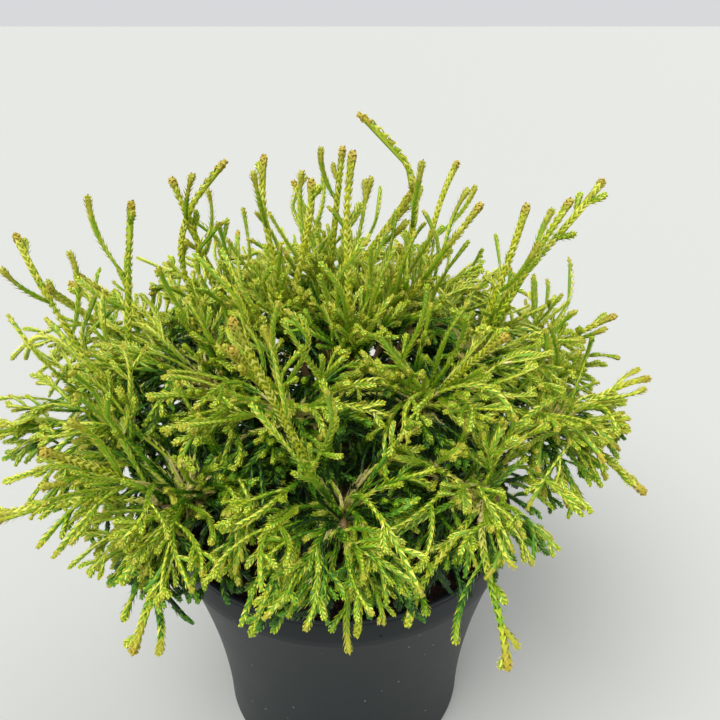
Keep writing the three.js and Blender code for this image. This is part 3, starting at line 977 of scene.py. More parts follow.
@dataclass
class Compost:
    """Bark compost that fills the pot, with loose chips on top."""

    pot: Pot
    edge: float = 113.0
    crown: float = 117.0
    crown_radius: float = 36.0
    gap: float = 0.3  # to the pot's floor and wall
    lump: Pair = (1.5, 9.0)  # height and size
    crumb: Pair = (1.1, 4.0)
    sunk: float = 0.6  # how far the lumpy top is let down
    level_edge: float = 6.0  # width of the edge where the lumps die away
    columns: int = 120
    side_rows: int = 12
    top_rows: int = 44
    chips: int = 900
    chip_tilt: float = 50.0
    chip_roll: float = 70.0
    chip_length: Span = (2.0, 5.5)
    chip_width: Span = (1.2, 2.2)
    chip_thickness: Span = (0.5, 0.9)
    chip_lift: Span = (0.4, 1.5)
    chip_shape: Span = (0.7, 0.6)  # how far a chip's corners stand out, as a share

    def surface_height(self, radius: Array) -> Array:
        """Height of the top at a distance from the axis: level round the stem, then sloping to the edge."""
        inner = self.pot.collar_radius - self.pot.wall
        return self.crown - (self.crown - self.edge) * smooth(radius, self.crown_radius, inner)

    def body(self) -> Surface:
        """The filling.

        Returns:
            A closed surface of revolution that keeps clear of the pot, with noise on its top that dies away
            at the edge.
        """
        inset = self.pot.wall + self.gap
        base = self.pot.floor + self.gap
        low = np.array([[POLE_RADIUS, base], [self.pot.foot_radius - inset, base]])
        rise = np.linspace(self.pot.floor + 3.0, self.edge, self.side_rows)
        wall = self.pot.wall_radius(np.minimum(rise, self.pot.collar_foot))
        side = np.stack([wall - inset - 0.1, rise], axis=-1)
        edge_radius = side[-1, 0]
        radii = np.linspace(edge_radius - 1.2, POLE_RADIUS, self.top_rows)
        top = np.stack([radii, self.surface_height(radii)], axis=-1)
        surface = lathe(np.concatenate([low, side, top]), self.columns)
        place = surface.corners
        out = np.hypot(place[:, 0], place[:, 1])
        is_top = (place[:, 2] > self.edge - 0.5) & (out < edge_radius - 0.5)
        lumps = self.lump[0] * cell_noise(place * FLAT, self.lump[1], Seed.LUMPS)
        lumps = lumps + self.crumb[0] * cell_noise(place * FLAT, self.crumb[1], Seed.CRUMBS) - self.sunk
        place[:, 2] += np.where(is_top, lumps * smooth(edge_radius - out, 0.0, self.level_edge), 0.0)
        return surface

    def chip_surface(self) -> Surface:
        """Loose chips.

        Returns:
            Blocks with uneven corners, dealt over the top by the golden angle and turned, tilted and sized
            by chance. A corner is at middle +- length way +- width across +- thickness over.
        """
        number = np.arange(self.chips)
        yaw, tilt, roll, length, width, thick, lift = (
            chance(Seed.CHIPS, number, use) for use in range(1, 8)
        )
        radius = (self.pot.collar_radius - self.pot.wall - 4.0) * np.sqrt((number + 0.5) / self.chips)
        angle = number * GOLDEN_ANGLE
        yaw = 2.0 * math.pi * yaw
        tilt = np.radians(self.chip_tilt) * (tilt - 0.5)
        roll = np.radians(self.chip_roll) * (roll - 0.5)
        height = self.surface_height(radius) + self.chip_lift[0] + self.chip_lift[1] * lift
        middle = np.stack([radius * np.cos(angle), radius * np.sin(angle), height], axis=-1)
        level = np.stack([np.cos(yaw), np.sin(yaw), 0 * yaw], axis=-1)
        way = unit(turned(level, UP, tilt))
        across, over = side_frame(way, turned(np.cross(way, UP), UP, roll))
        round_block = ((-1.0, -1.0), (1.0, -1.0), (1.0, 1.0), (-1.0, 1.0))
        signs = np.array([[x, y, z] for z in (-1.0, 1.0) for x, y in round_block])
        corner = number[:, None] * 8 + np.arange(8)
        luck = np.stack([chance(Seed.CHIPS, corner, use) for use in (8, 9, 10)], axis=-1)
        part = signs * spanned(self.chip_shape, luck)
        corners = (
            middle[:, None, :]
            + part[..., :1] * (spanned(self.chip_length, length**2)[:, None, None] * way[:, None, :])
            + part[..., 1:2] * (spanned(self.chip_width, width)[:, None, None] * across[:, None, :])
            + part[..., 2:] * (spanned(self.chip_thickness, thick)[:, None, None] * -over[:, None, :])
        )
        ends = [[0, 3, 2, 1], [4, 5, 6, 7]]
        sides = [[0, 1, 5, 4], [1, 2, 6, 5], [2, 3, 7, 6], [3, 0, 4, 7]]
        faces = np.array(ends + sides) + 8 * number[:, None, None]
        return Surface(corners.reshape(-1, 3), faces.reshape(-1, 4))

    def build(self, finish: Material) -> Object:
        """Builds the filling and its chips as one piece."""
        whole = Surface.joined([self.body(), self.chip_surface()])
        return whole.build("compost_bark", [finish], is_smooth=False)


# ---- the crown's rule


@dataclass(frozen=True)
class BranchRule:
    """How side shoots stand on a shoot."""

    places: int  # most of them on one shoot
    nearest: float  # share of the parent's length where they begin
    farthest: float
    likelihood: float
    angles: Pair
    rest: float  # length, as a share of what is left of the parent beyond it
    extra: float  # and a length on top
    lengths: Pair
    curve: float  # how far the middle swings out, so that the tip turns forward
    droop: float
    girth: float
    vigour: float
    amber: float  # share of those on an amber-tipped parent that have amber tips too
    within: Span = (0.15, 0.7)  # where in its stretch of the parent each stands
    rest_vary: Span = (0.7, 0.5)
    plane_turn: float = 70.0  # how far the plane of a shoot's branches is turned by chance, in degrees
    own_turn: float = 50.0  # and each of them
    sag: float = 0.8  # how far the middle stays above the droop
    winding: float = 0.02
    girth_vary: float = 0.08
    light_above: float = 0.06  # more light for those that stand upwards
    light_vary: float = 0.16
    straw: Pair = (0.7, 0.6)  # chance above which they have old leaves, and the share of them
    bud: Span = (0.7, 0.6)  # length of the bud, as a share of the parent's


BRANCHES = BranchRule(
    places=5,
    nearest=0.14,
    farthest=0.70,
    likelihood=0.80,
    angles=(18.0, 36.0),
    rest=0.9,
    extra=3.0,
    lengths=(14.0, 52.0),
    curve=0.10,
    droop=0.06,
    girth=0.94,
    vigour=0.7,
    amber=0.9,
)
FORKS = replace(
    BRANCHES,
    places=2,
    nearest=0.34,
    farthest=0.74,
    likelihood=0.62,
    angles=(18.0, 34.0),
    lengths=(10.0, 36.0),
    droop=0.04,
)
FINGERS = BranchRule(
    places=5,
    nearest=0.4,
    farthest=0.95,
    likelihood=0.32,
    angles=(26.0, 46.0),
    rest=0.7,
    extra=2.4,
    lengths=(3.6, 10.0),
    curve=0.08,
    droop=0.0,
    girth=0.9,
    vigour=0.3,
    amber=0.25,
)


@dataclass(frozen=True)
class MassSpec:
    """A mass of foliage: where its bough ends, and its leaders.

    hub is a bearing, a distance out and a height. A leader is its bearing, rise and length, and for a
    crooked one also where its middle swings to, by how much, and how much more its outer half does.
    """

    side: str
    hub: tuple[float, float, float]
    leaders: tuple[tuple[float, ...], ...]
    lush: float = 1.0  # how many shoots it has, as a share of its tier's numbers
    centre: float = 0.6  # where on its stem the radiating ones begin


@dataclass(frozen=True)
class TierSpec:
    """A tier of masses: where its boughs sit on the stem, and what its shoots are like."""

    name: str
    seats: Pair
    shoots: int  # dealt round each mass's stem
    star: int  # radiating from the stem's end
    rising: int  # upright from the stem's outer half
    hanging: int  # outwards and down
    inner: int  # round each mass's bough and stem, in the crown's depth
    arch: float  # how far shoots rise above their chord before they droop
    rises: Pair  # rise of the lowest and of the highest dealt and radiating ones
    drape: float  # how much lower the ones that point outwards are
    combs: BranchRule  # how side shoots stand on the dealt ones
    light: float  # how much lighter its shoots are
    old: float  # how much of the old leaves at their roots they keep
    masses: tuple[MassSpec, ...]


@dataclass(frozen=True)
class ShootLook:
    """What shoots of a kind look like, before chance has its part."""

    light: float
    light_vary: float
    girth: float
    vigour: float
    straw: float  # share of them with old leaves at the root
    upper: float = 0.0  # more light on a mass's upper side
    steep: float = 0.0  # more light the steeper a shoot is
    vigour_vary: float = 0.4
    most_vigour: float = 0.85
    budding: float = 0.62  # share of them with a bud
    bud: Span = (1.8, 3.0)  # its length
    is_old: bool = False  # are the leaves old as far as the tip?


class ShootKind(Enum):
    """Kinds of shoots."""

    LEADER = ShootLook(
        light=0.80,
        light_vary=0.24,
        girth=1.26,
        vigour=1.0,
        straw=0.3,
        vigour_vary=0.0,
        most_vigour=1.0,
        budding=1.0,
        bud=(7.0, 5.0),
    )
    DEALT = ShootLook(
        light=0.60, light_vary=0.50, girth=0.92, vigour=0.3, straw=0.45, upper=0.33, steep=0.08
    )
    STAR = ShootLook(
        light=0.90, light_vary=0.30, girth=0.96, vigour=0.5, straw=0.85, upper=0.12, steep=0.04
    )
    RISING = ShootLook(light=0.80, light_vary=0.34, girth=0.94, vigour=0.5, straw=0.35)
    HANGING = ShootLook(light=0.24, light_vary=0.36, girth=0.92, vigour=0.4, straw=0.08)
    INNER = ShootLook(light=0.40, light_vary=0.3, girth=0.92, vigour=0.2, straw=0.1, steep=0.1)
    STUB = ShootLook(light=0.5, light_vary=0.3, girth=0.9, vigour=0.2, straw=1.0, is_old=True)


TIERS = (
    TierSpec(
        name="low",
        seats=(0.16, 0.42),
        shoots=14,
        star=19,
        rising=4,
        hanging=14,
        inner=30,
        arch=0.18,
        rises=(-34.0, 44.0),
        drape=28.0,
        combs=BRANCHES,
        light=-0.03,
        old=1.0,
        masses=(
            MassSpec("right", (345, 72, 174), ((340, -31, 51), (0, 31, 46), (273, -30, 38)), 0.85),
            MassSpec("right_back", (20, 68, 170), ((337, 42, 60),)),
            MassSpec("back_right", (56, 66, 170), ((60, 18, 66),)),
            MassSpec("back", (92, 66, 170), ((88, 30, 64),)),
            MassSpec("back_left", (128, 66, 170), ((134, 10, 66),)),
            MassSpec("left_back", (164, 69, 171), ((214, 52, 75), (150, 34, 70))),
            MassSpec("left", (196, 72, 172), ((25, 81, 103), (158, 65, 95), (194, 13, 55)), 1.3),
            MassSpec(
                "left_front", (228, 70, 168), ((189, 3, 67), (252, -47, 56), (219, 46, 61)), 1.55, 0.35
            ),
            MassSpec("front", (272, 60, 170), ((221, 67, 103), (283, -60, 43), (208, -45, 56)), 0.75, 0.25),
            MassSpec("right_front", (311, 64, 169), ((275, -41, 64), (231, -29, 59)), 0.75, 0.3),
        ),
    ),
    TierSpec(
        name="mid",
        seats=(0.48, 0.7),
        shoots=11,
        star=15,
        rising=5,
        hanging=11,
        inner=28,
        arch=0.17,
        rises=(-24.0, 54.0),
        drape=26.0,
        combs=BRANCHES,
        light=0.0,
        old=1.0,
        masses=(
            MassSpec("left", (205, 40, 184), ((163, 37, 75),)),
            MassSpec("front_left", (252, 38, 185), ((240, 55, 56),)),
            MassSpec("front_right", (308, 37, 185), ((312, 50, 60),)),
            MassSpec("right", (0, 40, 184), ((18, 54, 98), (0, 64, 84), (14, 74, 75))),
            MassSpec("back_right", (52, 40, 184), ((50, 66, 82),)),
            MassSpec("back", (104, 40, 184), ((110, 60, 70),)),
            MassSpec("left_back", (156, 40, 184), ((56, 85, 85, 180, 22, 0), (164, 74, 80))),
        ),
    ),
    TierSpec(
        name="top",
        seats=(0.76, 0.96),
        shoots=6,
        star=6,
        rising=10,
        hanging=2,
        inner=12,
        arch=0.08,
        rises=(20.0, 86.0),
        drape=10.0,
        combs=FORKS,
        light=0.06,
        old=0.3,
        masses=(
            MassSpec("front", (285, 14, 191), ((85, 84, 84),)),
            MassSpec("right", (15, 14, 191), ((170, 82, 95, 0, 17, 6), (359, 56, 70))),
            MassSpec("back", (105, 14, 191), ((25, 84, 78), (358, 57, 71))),
            MassSpec("left", (195, 14, 191), ((145, 83, 80), (45, 78, 70))),
        ),
    ),
)


@dataclass
class StemRule:
    """The short stem that all boughs spring from."""

    foot: float = 114.0
    rise: float = 53.0
    lean: Pair = (5.0, 3.0)
    swing: Pair = (-1.5, 1.0)
    radius: float = 6.2
    top_radius: float = 4.4
    flare: float = 4.0
    flare_height: float = 6.0
    height: float = 50.0  # from the compost to its top

    @property
    def path(self) -> Paths:
        """The stem's middle."""
        way = np.array([[*self.lean, self.rise]])
        return Paths(np.array([[0.0, 0.0, self.foot]]), way, np.array([[*self.swing, 0.0]]))

    def radius_at(self, share: Array) -> Array:
        """Radius at a share of the height: a straight taper, and a root flare that dies away upwards."""
        taper = self.radius + (self.top_radius - self.radius) * share
        return taper + self.flare * np.exp(-share * self.height / self.flare_height)


@dataclass
class CrownRule:
    """What all masses share: the crown's outline, how shoots are dealt out and where they may not grow.

    Turns, leans, falls and lifts are in degrees, roots are shares of the mass's stem or bough, and sways,
    arches and waves are shares of a shoot's length.
    """

    middle: tuple[float, float, float] = (-14.0, 8.0, 185.0)  # of the outline, two halves of squashed balls
    across: float = 146.0
    deep: float = 138.0
    above: float = 60.0
    below: float = 60.0
    heart: float = 146.0  # height that the masses point away from

    shade_begins: float = 0.9  # share of the way out where the crown's depth begins
    shade_width: float = 0.4  # and the way inwards from there to full depth
    shade_top: float = 170.0  # height below which places under the crown are shaded
    shade_edge: float = 130.0  # and how far out
    shade_fade: float = 26.0
    shade_under: float = 0.9

    bough_sweep: float = 0.42  # share of a bough that comes in along its mass's axis
    stem_gap: float = 0.3
    stem_length: float = 34.0
    stem_radii: Pair = (1.9, 1.2)  # at its root and its tip
    stem_sides: int = 8
    stem_rings: int = 6

    leader_root: float = 0.8
    leader_sway: float = 0.05
    leader_arch: float = 0.07
    leader_wave: float = 0.03

    longest: float = 84.0
    shortest: float = 20.0
    home_step: float = 8.0
    lean_over: float = 20.0  # how far a shoot may grow into the next mass's space
    compost_top: float = 118.0
    hem: float = 108.0  # height of the lowest hanging tips
    wall_gap: float = 1.0
    rim_gap: float = 0.6
    tries: tuple[float, ...] = (1.0, 0.85, 0.7, 0.55, 0.42)  # shares of the wanted length
    trunk_places: int = 9  # where distances from the stem are measured
    shoot_places: int = 8  # where a shoot is tested
    branch_tests: tuple[float, ...] = (0.5, 0.75, 1.0)  # and where a branch is
    shoot_girth: float = 2.0  # that has to fit
    branch_girth: float = 1.8
    untested: float = 0.3  # share of the length near the root
    branch_reach: Pair = (5.0, 1.2)  # how far branches may grow: a length, and a share of reach on top
    sway: float = 0.26
    wave: float = 0.12

    girth_vary: Span = (0.9, 0.2)
    old_share: Span = (0.2, 0.34)  # of a shoot's length, with old leaves
    old_length: Span = (9.0, 12.0)  # and at most this long
    spread: float = 140.0  # to each side
    dealt_lift: float = -4.0
    dealt_root: float = 0.35  # past the mass's centre
    dealt_back: float = 0.7  # how far back from there chance may put it
    dealt_reach: Span = (0.86, 0.24)  # share of the way to the outline
    dealt_length: Span = (0.7, 0.3)  # share of the longest
    dealt_arch: Span = (0.6, 0.8)  # share of the tier's
    star_lift: float = 8.0
    star_root: float = 0.36
    star_reach: Span = (0.84, 0.26)
    star_length: Span = (34.0, 46.0)
    star_arch: Span = (1.2, 1.2)
    rising_lean: Span = (4.0, 26.0)
    rising_spread: float = 150.0
    rising_root: Span = (0.3, 0.7)
    rising_past: Span = (4.0, 28.0)  # how far past the outline
    rising_power: float = 1.5  # the higher, the fewer stand far past it
    rising_lengths: Pair = (26.0, 80.0)
    hanging_fall: Span = (12.0, 50.0)
    hanging_spread: float = 130.0
    hanging_on_bough: float = 0.3  # share of them
    hanging_bough: Span = (0.7, 0.3)
    hanging_stem: Span = (-0.4, 1.4)
    hanging_reach: Span = (0.95, 0.25)
    hanging_length: Span = (32.0, 40.0)
    hanging_arch: float = 0.26
    inner_on_bough: float = 0.6
    inner_bough: Span = (0.45, 0.9)
    inner_stem: float = 1.8
    inner_length: Span = (22.0, 20.0)
    inner_arch: float = 0.04
    stubs: int = 18
    stub_angle: Span = (20.0, 75.0)
    stub_root: float = 0.3
    stub_length: Span = (5.0, 9.0)
    stub_arch: float = 0.1

    def reach(self, place: Array, direction: Array) -> Array:
        """Distance from places to the crown's outline.

        Args:
            place: points.
            direction: unit directions.

        Returns:
            The positive root of the quadratic of line and ball, for the half that the line ends in.
        """
        offset = place - np.array(self.middle)

        def to_ball(height: float) -> Array:
            """Measures to one of the two half balls.

            Args:
                height: its half height.

            Returns:
                The distance to it from each place.
            """
            shape = np.array([1.0 / self.across, 1.0 / self.deep, 1.0 / height])
            start, way = offset * shape, direction * shape
            a, b, c = dot(way, way), dot(start, way), dot(start, start) - 1.0
            return (-b + np.sqrt(np.maximum(0.0, b * b - a * c))) / a

        above, below = to_ball(self.above), to_ball(self.below)
        return np.where(offset[..., 2:] + direction[..., 2:] * above >= 0.0, above, below)[..., 0]

    def depth(self, place: Array) -> Array:
        """How deep places are in the crown's shade.

        Args:
            place: points.

        Returns:
            0 near the outline, rising to 1 over shade_width inwards from shade_begins. Places that are lower
            than shade_top and further in than shade_edge are at least up to shade_under deep.
        """
        x, y, z = np.moveaxis(place - np.array(self.middle), -1, 0)
        height = np.where(z >= 0.0, self.above, self.below)
        out = np.sqrt((x / self.across) ** 2 + (y / self.deep) ** 2 + (z / height) ** 2)
        aside = np.hypot(place[..., 0], place[..., 1])
        low = smooth(self.shade_top - place[..., 2], 0.0, self.shade_fade)
        under = low * smooth(self.shade_edge - aside, 0.0, self.shade_fade)
        return np.maximum(smooth(self.shade_begins - out, 0.0, self.shade_width), self.shade_under * under)


@dataclass
class Shoots:
    """Whipcord shoots: their paths and how each looks."""

    paths: Paths
    girth: Array  # from the middle to the tips of the scales
    vigour: Array  # 0 for short hugging scales, 1 for long spreading ones
    light: Array  # 0 in the depth of the crown, 1 on its sunny side
    straw: Array  # share of the length, from the root, whose leaves are old
    amber: Array  # length of the amber bud
    number: Numbers  # for chance

    def columns(self) -> tuple[Array, ...]:
        """All that is known of the shoots apart from their paths."""
        return self.girth, self.vigour, self.light, self.straw, self.amber, self.number

    def pick(self, chosen: NDArray) -> Shoots:
        """Some of the shoots."""
        return Shoots(self.paths.pick(chosen), *(column[chosen] for column in self.columns()))

    @staticmethod
    def joined(several: list[Shoots]) -> Shoots:
        """Puts several sets of shoots one after the other.

        Args:
            several: the sets.

        Returns:
            All their shoots.
        """
        columns = zip(*(shoots.columns() for shoots in several))
        paths = Paths.joined([shoots.paths for shoots in several])
        return Shoots(paths, *(np.concatenate(column) for column in columns))


@dataclass
class ScaleRule:
    """How scale leaves clothe a shoot.

    Radii are shares of the shoot's girth. A pair of distances from the tip says where a change begins and
    where it ends.
    """

    pitch: float = 1.1  # from one pair of scales to the next
    first: float = 0.35  # from the tip to the first pair, in pitches
    loose: float = 0.35  # how much further apart a vigorous shoot's pairs are
    bud_squeeze: float = 1.6  # how much closer the pairs sit in the bud, in pitches
    bud_pairs: float = 2.2
    bare: float = 0.02  # share of the length, at the root
    twist: float = 0.05
    uneven: float = 0.25
    length: float = 2.25  # of a scale, in pitches
    shut_length: Span = (0.42, 0.58)  # share of it for a shut scale, and the rest for an open one
    uneven_length: float = 0.2
    width: float = 0.66  # half a scale's
    root: float = 0.50
    overlap: float = 0.06  # how far its root reaches back, as a share of its length
    ridge: Pair = (0.44, 1.22)  # share of its length, and radius
    shut: float = 0.74  # radius of a shut scale's tip
    flare: float = 1.78  # and of an open one's
    vigour_flare: float = 0.12  # how much further out a vigorous shoot's are
    opening: Pair = (0.3, 6.0)
    bold: Pair = (0.85, 1.0)  # vigours between which scales become a leader's
    bold_hug: float = 0.5
    bold_width: float = 0.5
    bold_ridge: float = 0.1
    bold_even: float = 0.4  # how much less their tips are lightened

    tip_girth: float = 0.68
    bud_girth: float = 0.60  # how much more it is round the bud
    bud_swell: Pair = (-0.6, 1.8)
    neck: float = 0.28  # how much less it is behind the bud
    neck_fall: Pair = (2.6, 7.0)
    root_girth: Span = (0.82, 0.18)
    root_length: float = 0.35
    twig: float = 0.72  # its radius
    bud: float = 0.95  # and in the bud
    bud_fill: Pair = (4.5, 3.0)  # distance from the tip where that begins, and how soon it is full
    last_stretch: float = 2.2  # of a twig
    nose: float = 0.45
    twig_sides: int = 4
    twig_rings: int = 6
    finger_rings: int = 2

    tone: float = 0.03  # that all have, where 0 is the darkest green and 1 the lightest
    tone_along: float = 0.24  # how much lighter a tip is than a root
    young_tone: float = 0.24
    young_length: float = 15.0
    leaf_tone: float = 0.3  # how much single leaves differ
    young_even: float = 0.6  # how much less young ones do
    inner: float = 0.88  # how much darker the crown's depth is painted, as shade
    inner_vary: Span = (0.6, 0.8)
    old_vary: Span = (0.8, 0.4)
    straw: float = 0.6  # share of the old leaves
    tan: float = 0.35  # at most
    bud_vary: Span = (0.4, 1.2)
    warm: float = 0.95  # chance above which a bud is russet
    warm_length: float = 0.5  # share of the bud
    bud_light: float = 0.45  # below which buds are green
    lighter: Pair = (0.25, 0.68)  # chances above which a scale's tip is one and two tints lighter: partly pale tips, partly a painted highlight
    lighter_from: Pair = (1.0, 5.0)
    twig_vary: float = 0.4

    def girth_profile(self, from_tip: Array, share: Array) -> Array:
        """Girth along a shoot.

        Args:
            from_tip: distances from the tip.
            share: shares of the length.

        Returns:
            A share of the shoot's girth, slimmer at the root, full for most of it, and blunt round the bud.
        """
        swell = self.bud_girth * smooth(from_tip, *self.bud_swell)
        bud = self.tip_girth + swell - self.neck * smooth(from_tip, *self.neck_fall)
        return bud * spanned(self.root_girth, smooth(share, 0.0, self.root_length))

    def tint_numbers(
        self, shoots: Shoots, which: Numbers, share: Array, from_tip: Array, depth: Array, vary: Array
    ) -> Numbers:
        """Tints of leaves or of stretches of twig.

        Args:
            shoots: all shoots.
            which: the shoot of each leaf.
            share: the leaf's place as a share of its shoot's length.
            from_tip: its distance from the tip.
            depth: 0 at the crown's outline, 1 deep inside.
            vary: a number from 0 to 1 for each leaf.

        Returns:
            The greens go from deep green to lime with the shoot's light and towards its tip, and are painted
            darker as shade in the crown's depth, for each shoot by its own share. Old leaves at the root are
            tan, straw and pale lime. Buds are amber or russet, and in the shade a lighter green.
        """
        light, straw, amber = shoots.light[which], shoots.straw[which], shoots.amber[which]
        young = 1.0 - smooth(from_tip, 0.0, self.young_length)
        # painted shade: leaves deep in the crown are darker, by a share of the depth that each shoot draws
        # by chance
        own_share = chance(Seed.DEPTH_SHADE, shoots.number[which], 6)
        dull = self.inner * depth * spanned(self.inner_vary, own_share)
        tone = light + self.tone + self.tone_along * (share - 0.5) + self.young_tone * young - dull
        tone = tone + self.leaf_tone * (vary - 0.5) * (1.0 - self.young_even * young)
        green = np.clip(np.floor(1.0 + tone * (GREENS - 1)), 0, GREENS - 1).astype(np.int64)
        is_old = share < straw * spanned(self.old_vary, vary)
        is_straw = share < self.straw * straw
        is_tan = is_straw & (share < self.tan * straw * vary)
        result = np.where(is_old, TINTS.index(Tint.PALE_LIME), green)
        result = np.where(is_straw, TINTS.index(Tint.STRAW), result)
        result = np.where(is_tan, TINTS.index(Tint.TAN), result)
        is_bud = from_tip < amber * spanned(self.bud_vary, vary)
        warmth = chance(Seed.WARMTH, shoots.number[which], 5)
        is_warm = (shoots.vigour[which] > LEADER_VIGOUR) | (warmth > self.warm)
        is_warm &= from_tip < self.warm_length * amber
        bud = np.where(is_warm, TINTS.index(Tint.RUSSET), TINTS.index(Tint.AMBER))
        bud = np.where(light - dull < self.bud_light, np.minimum(green + 1, GREENS - 1), bud)
        return np.where(is_bud, bud, result)

    def leaves(self, shoots: Shoots, crown: CrownRule, mass: int) -> Surface:
        """The scales of all shoots.

        Args:
            shoots: the shoots.
            crown: the rule that tells how deep inside the crown a place is.
            mass: the mass's number, for chance.

        Returns:
            Each scale is a pointed three-sided blade, broad at its root, with a ridge over its middle. Many
            are a tint or two lighter than their roots: pale tips that are partly a painted highlight. A
            leader's are broader and hug it more. Pair j sits at pitch (j + first) - squeeze (1 - exp(-j /
            bud pairs)) from the tip, and each pair is turned by a quarter from the one before.
        """
        length = shoots.paths.length
        pitch = self.pitch * (1.0 + self.loose * shoots.vigour)
        pairs = np.floor(length / pitch).astype(np.int64) + 2
        which = np.repeat(np.arange(len(length)), pairs)
        j = np.arange(len(which)) - np.repeat(np.cumsum(pairs) - pairs, pairs)
        squeeze = self.bud_squeeze * (1.0 - np.exp(-j / self.bud_pairs))
        from_tip = pitch[which] * (j + self.first) - self.pitch * squeeze
        share = 1.0 - from_tip / length[which]
        kept = share > self.bare
        which, j, from_tip, share = which[kept], j[kept], from_tip[kept], share[kept]
        vary = chance(mass + Seed.SCALES, which, j)

        paths = shoots.paths.pick(which)
        point, along = paths.at(share), paths.along(share)
        across, over = side_frame(along, level_hint(shoots.paths)[which])
        roll = 2.0 * math.pi * chance(mass + Seed.ROLLS, shoots.number[which], 11) + self.twist * j
        turn = roll + (j % 2) * (math.pi / 2.0) + self.uneven * (vary - 0.5)
        r = (shoots.girth[which] * self.girth_profile(from_tip, share))[:, None]
        vigour = shoots.vigour[which][:, None]
        opening = smooth(from_tip, *self.opening)[:, None]
        scale = (pitch[which][:, None] * self.length) * spanned(self.shut_length, opening)
        scale = scale * (1.0 + self.uneven_length * (vary[:, None] - 0.5))
        bold = smooth(vigour, *self.bold)
        spread = self.shut + (self.flare - self.shut) * opening
        spread = spread + (self.vigour_flare * vigour - self.bold_hug * bold) * opening
        ridge_place, ridge_radius = self.ridge

        tint = self.tint_numbers(shoots, which, share, from_tip, crown.depth(point), vary)
        # scale tips lighter than their roots: partly pale tips, partly a painted highlight
        lift = chance(mass + Seed.SCALE_TIPS, which, j) * smooth(from_tip, *self.lighter_from)
        lift = lift * (1.0 - self.bold_even * bold[:, 0])
        one_lighter, two_lighter = self.lighter
        lighter = np.minimum(tint + (lift > one_lighter) + (lift > two_lighter), GREENS)
        tip_tint = np.where(tint < GREENS, lighter, tint)
        tints = np.stack([tint, tip_tint, tip_tint], axis=-1).ravel()
        scale_faces = np.array([[0, 1, 3], [1, 2, 3], [2, 0, 3]])
        faces = (scale_faces + 4 * np.arange(len(point))[:, None, None]).reshape(-1, 3)
        surfaces = []
        for half in (0.0, math.pi):
            out = turned(across, over, turn + half)
            side = np.cross(along, out)
            root = point - along * (self.overlap * scale) + out * (self.root * r)
            wide = side * ((self.width + self.bold_width * bold) * r)
            ridge = out * ((ridge_radius + self.bold_ridge * bold) * r)
            corners = np.stack(
                [
                    root - wide,
                    root + wide,
                    point + along * scale + out * (spread * r),
                    point + along * (ridge_place * scale) + ridge,
                ],
                axis=1,
            )
            surfaces.append(Surface(corners.reshape(-1, 3), faces, tints))
        return Surface.joined(surfaces)

    def twigs(self, shoots: Shoots, crown: CrownRule, rings: int) -> Surface:
        """The twigs inside the shoots.

        Args:
            shoots: the shoots.
            crown: the rule that tells how deep inside the crown a place is.
            rings: stretches along a twig.

        Returns:
            Closed limbs with a short last stretch that fills the bud, tinted in stretches, each darker than
            its leaves as painted shade between the scales.
        """
        length = shoots.paths.length[:, None]
        end = 1.0 - self.last_stretch / length
        even = np.linspace(0.0, 1.0, rings)[None, :-1] * end
        share = np.concatenate([even, end, np.ones_like(length)], axis=1)
        from_tip = (1.0 - share) * length
        begins, over = self.bud_fill
        fill = self.twig + (self.bud - self.twig) * smooth(begins - from_tip, 0.0, over)
        radius = fill * shoots.girth[:, None] * self.girth_profile(from_tip, share)
        nose = self.nose * shoots.girth
        surface = limb_surface(shoots.paths, self.twig_sides, rings, radius, share, nose=nose)
        sheet = np.repeat(np.arange(rings), self.twig_sides)
        caps = np.repeat([0, rings - 1], self.twig_sides)
        stretch = np.concatenate([sheet, sheet, caps])  # in the order of a limb's triangles
        which = np.repeat(np.arange(len(shoots.girth)), len(stretch))
        middle = 0.5 * (share[:, :-1] + share[:, 1:])
        depth = crown.depth(shoots.paths.at(middle))[:, stretch].ravel()
        middle = middle[:, stretch].ravel()
        tip_distance = (1.0 - middle) * shoots.paths.length[which]
        vary = np.full(len(which), self.twig_vary)
        tints = self.tint_numbers(shoots, which, middle, tip_distance, depth, vary)
        # twigs show between the scales, so their tints are painted darker as shade; a leader's by one tint
        is_leader = (shoots.vigour[which] > LEADER_VIGOUR) & (tints < GREENS)
        surface.tints = np.where(is_leader, np.maximum(tints - 1, 0), SHADED_TWIG_TINT[tints])
        return surface


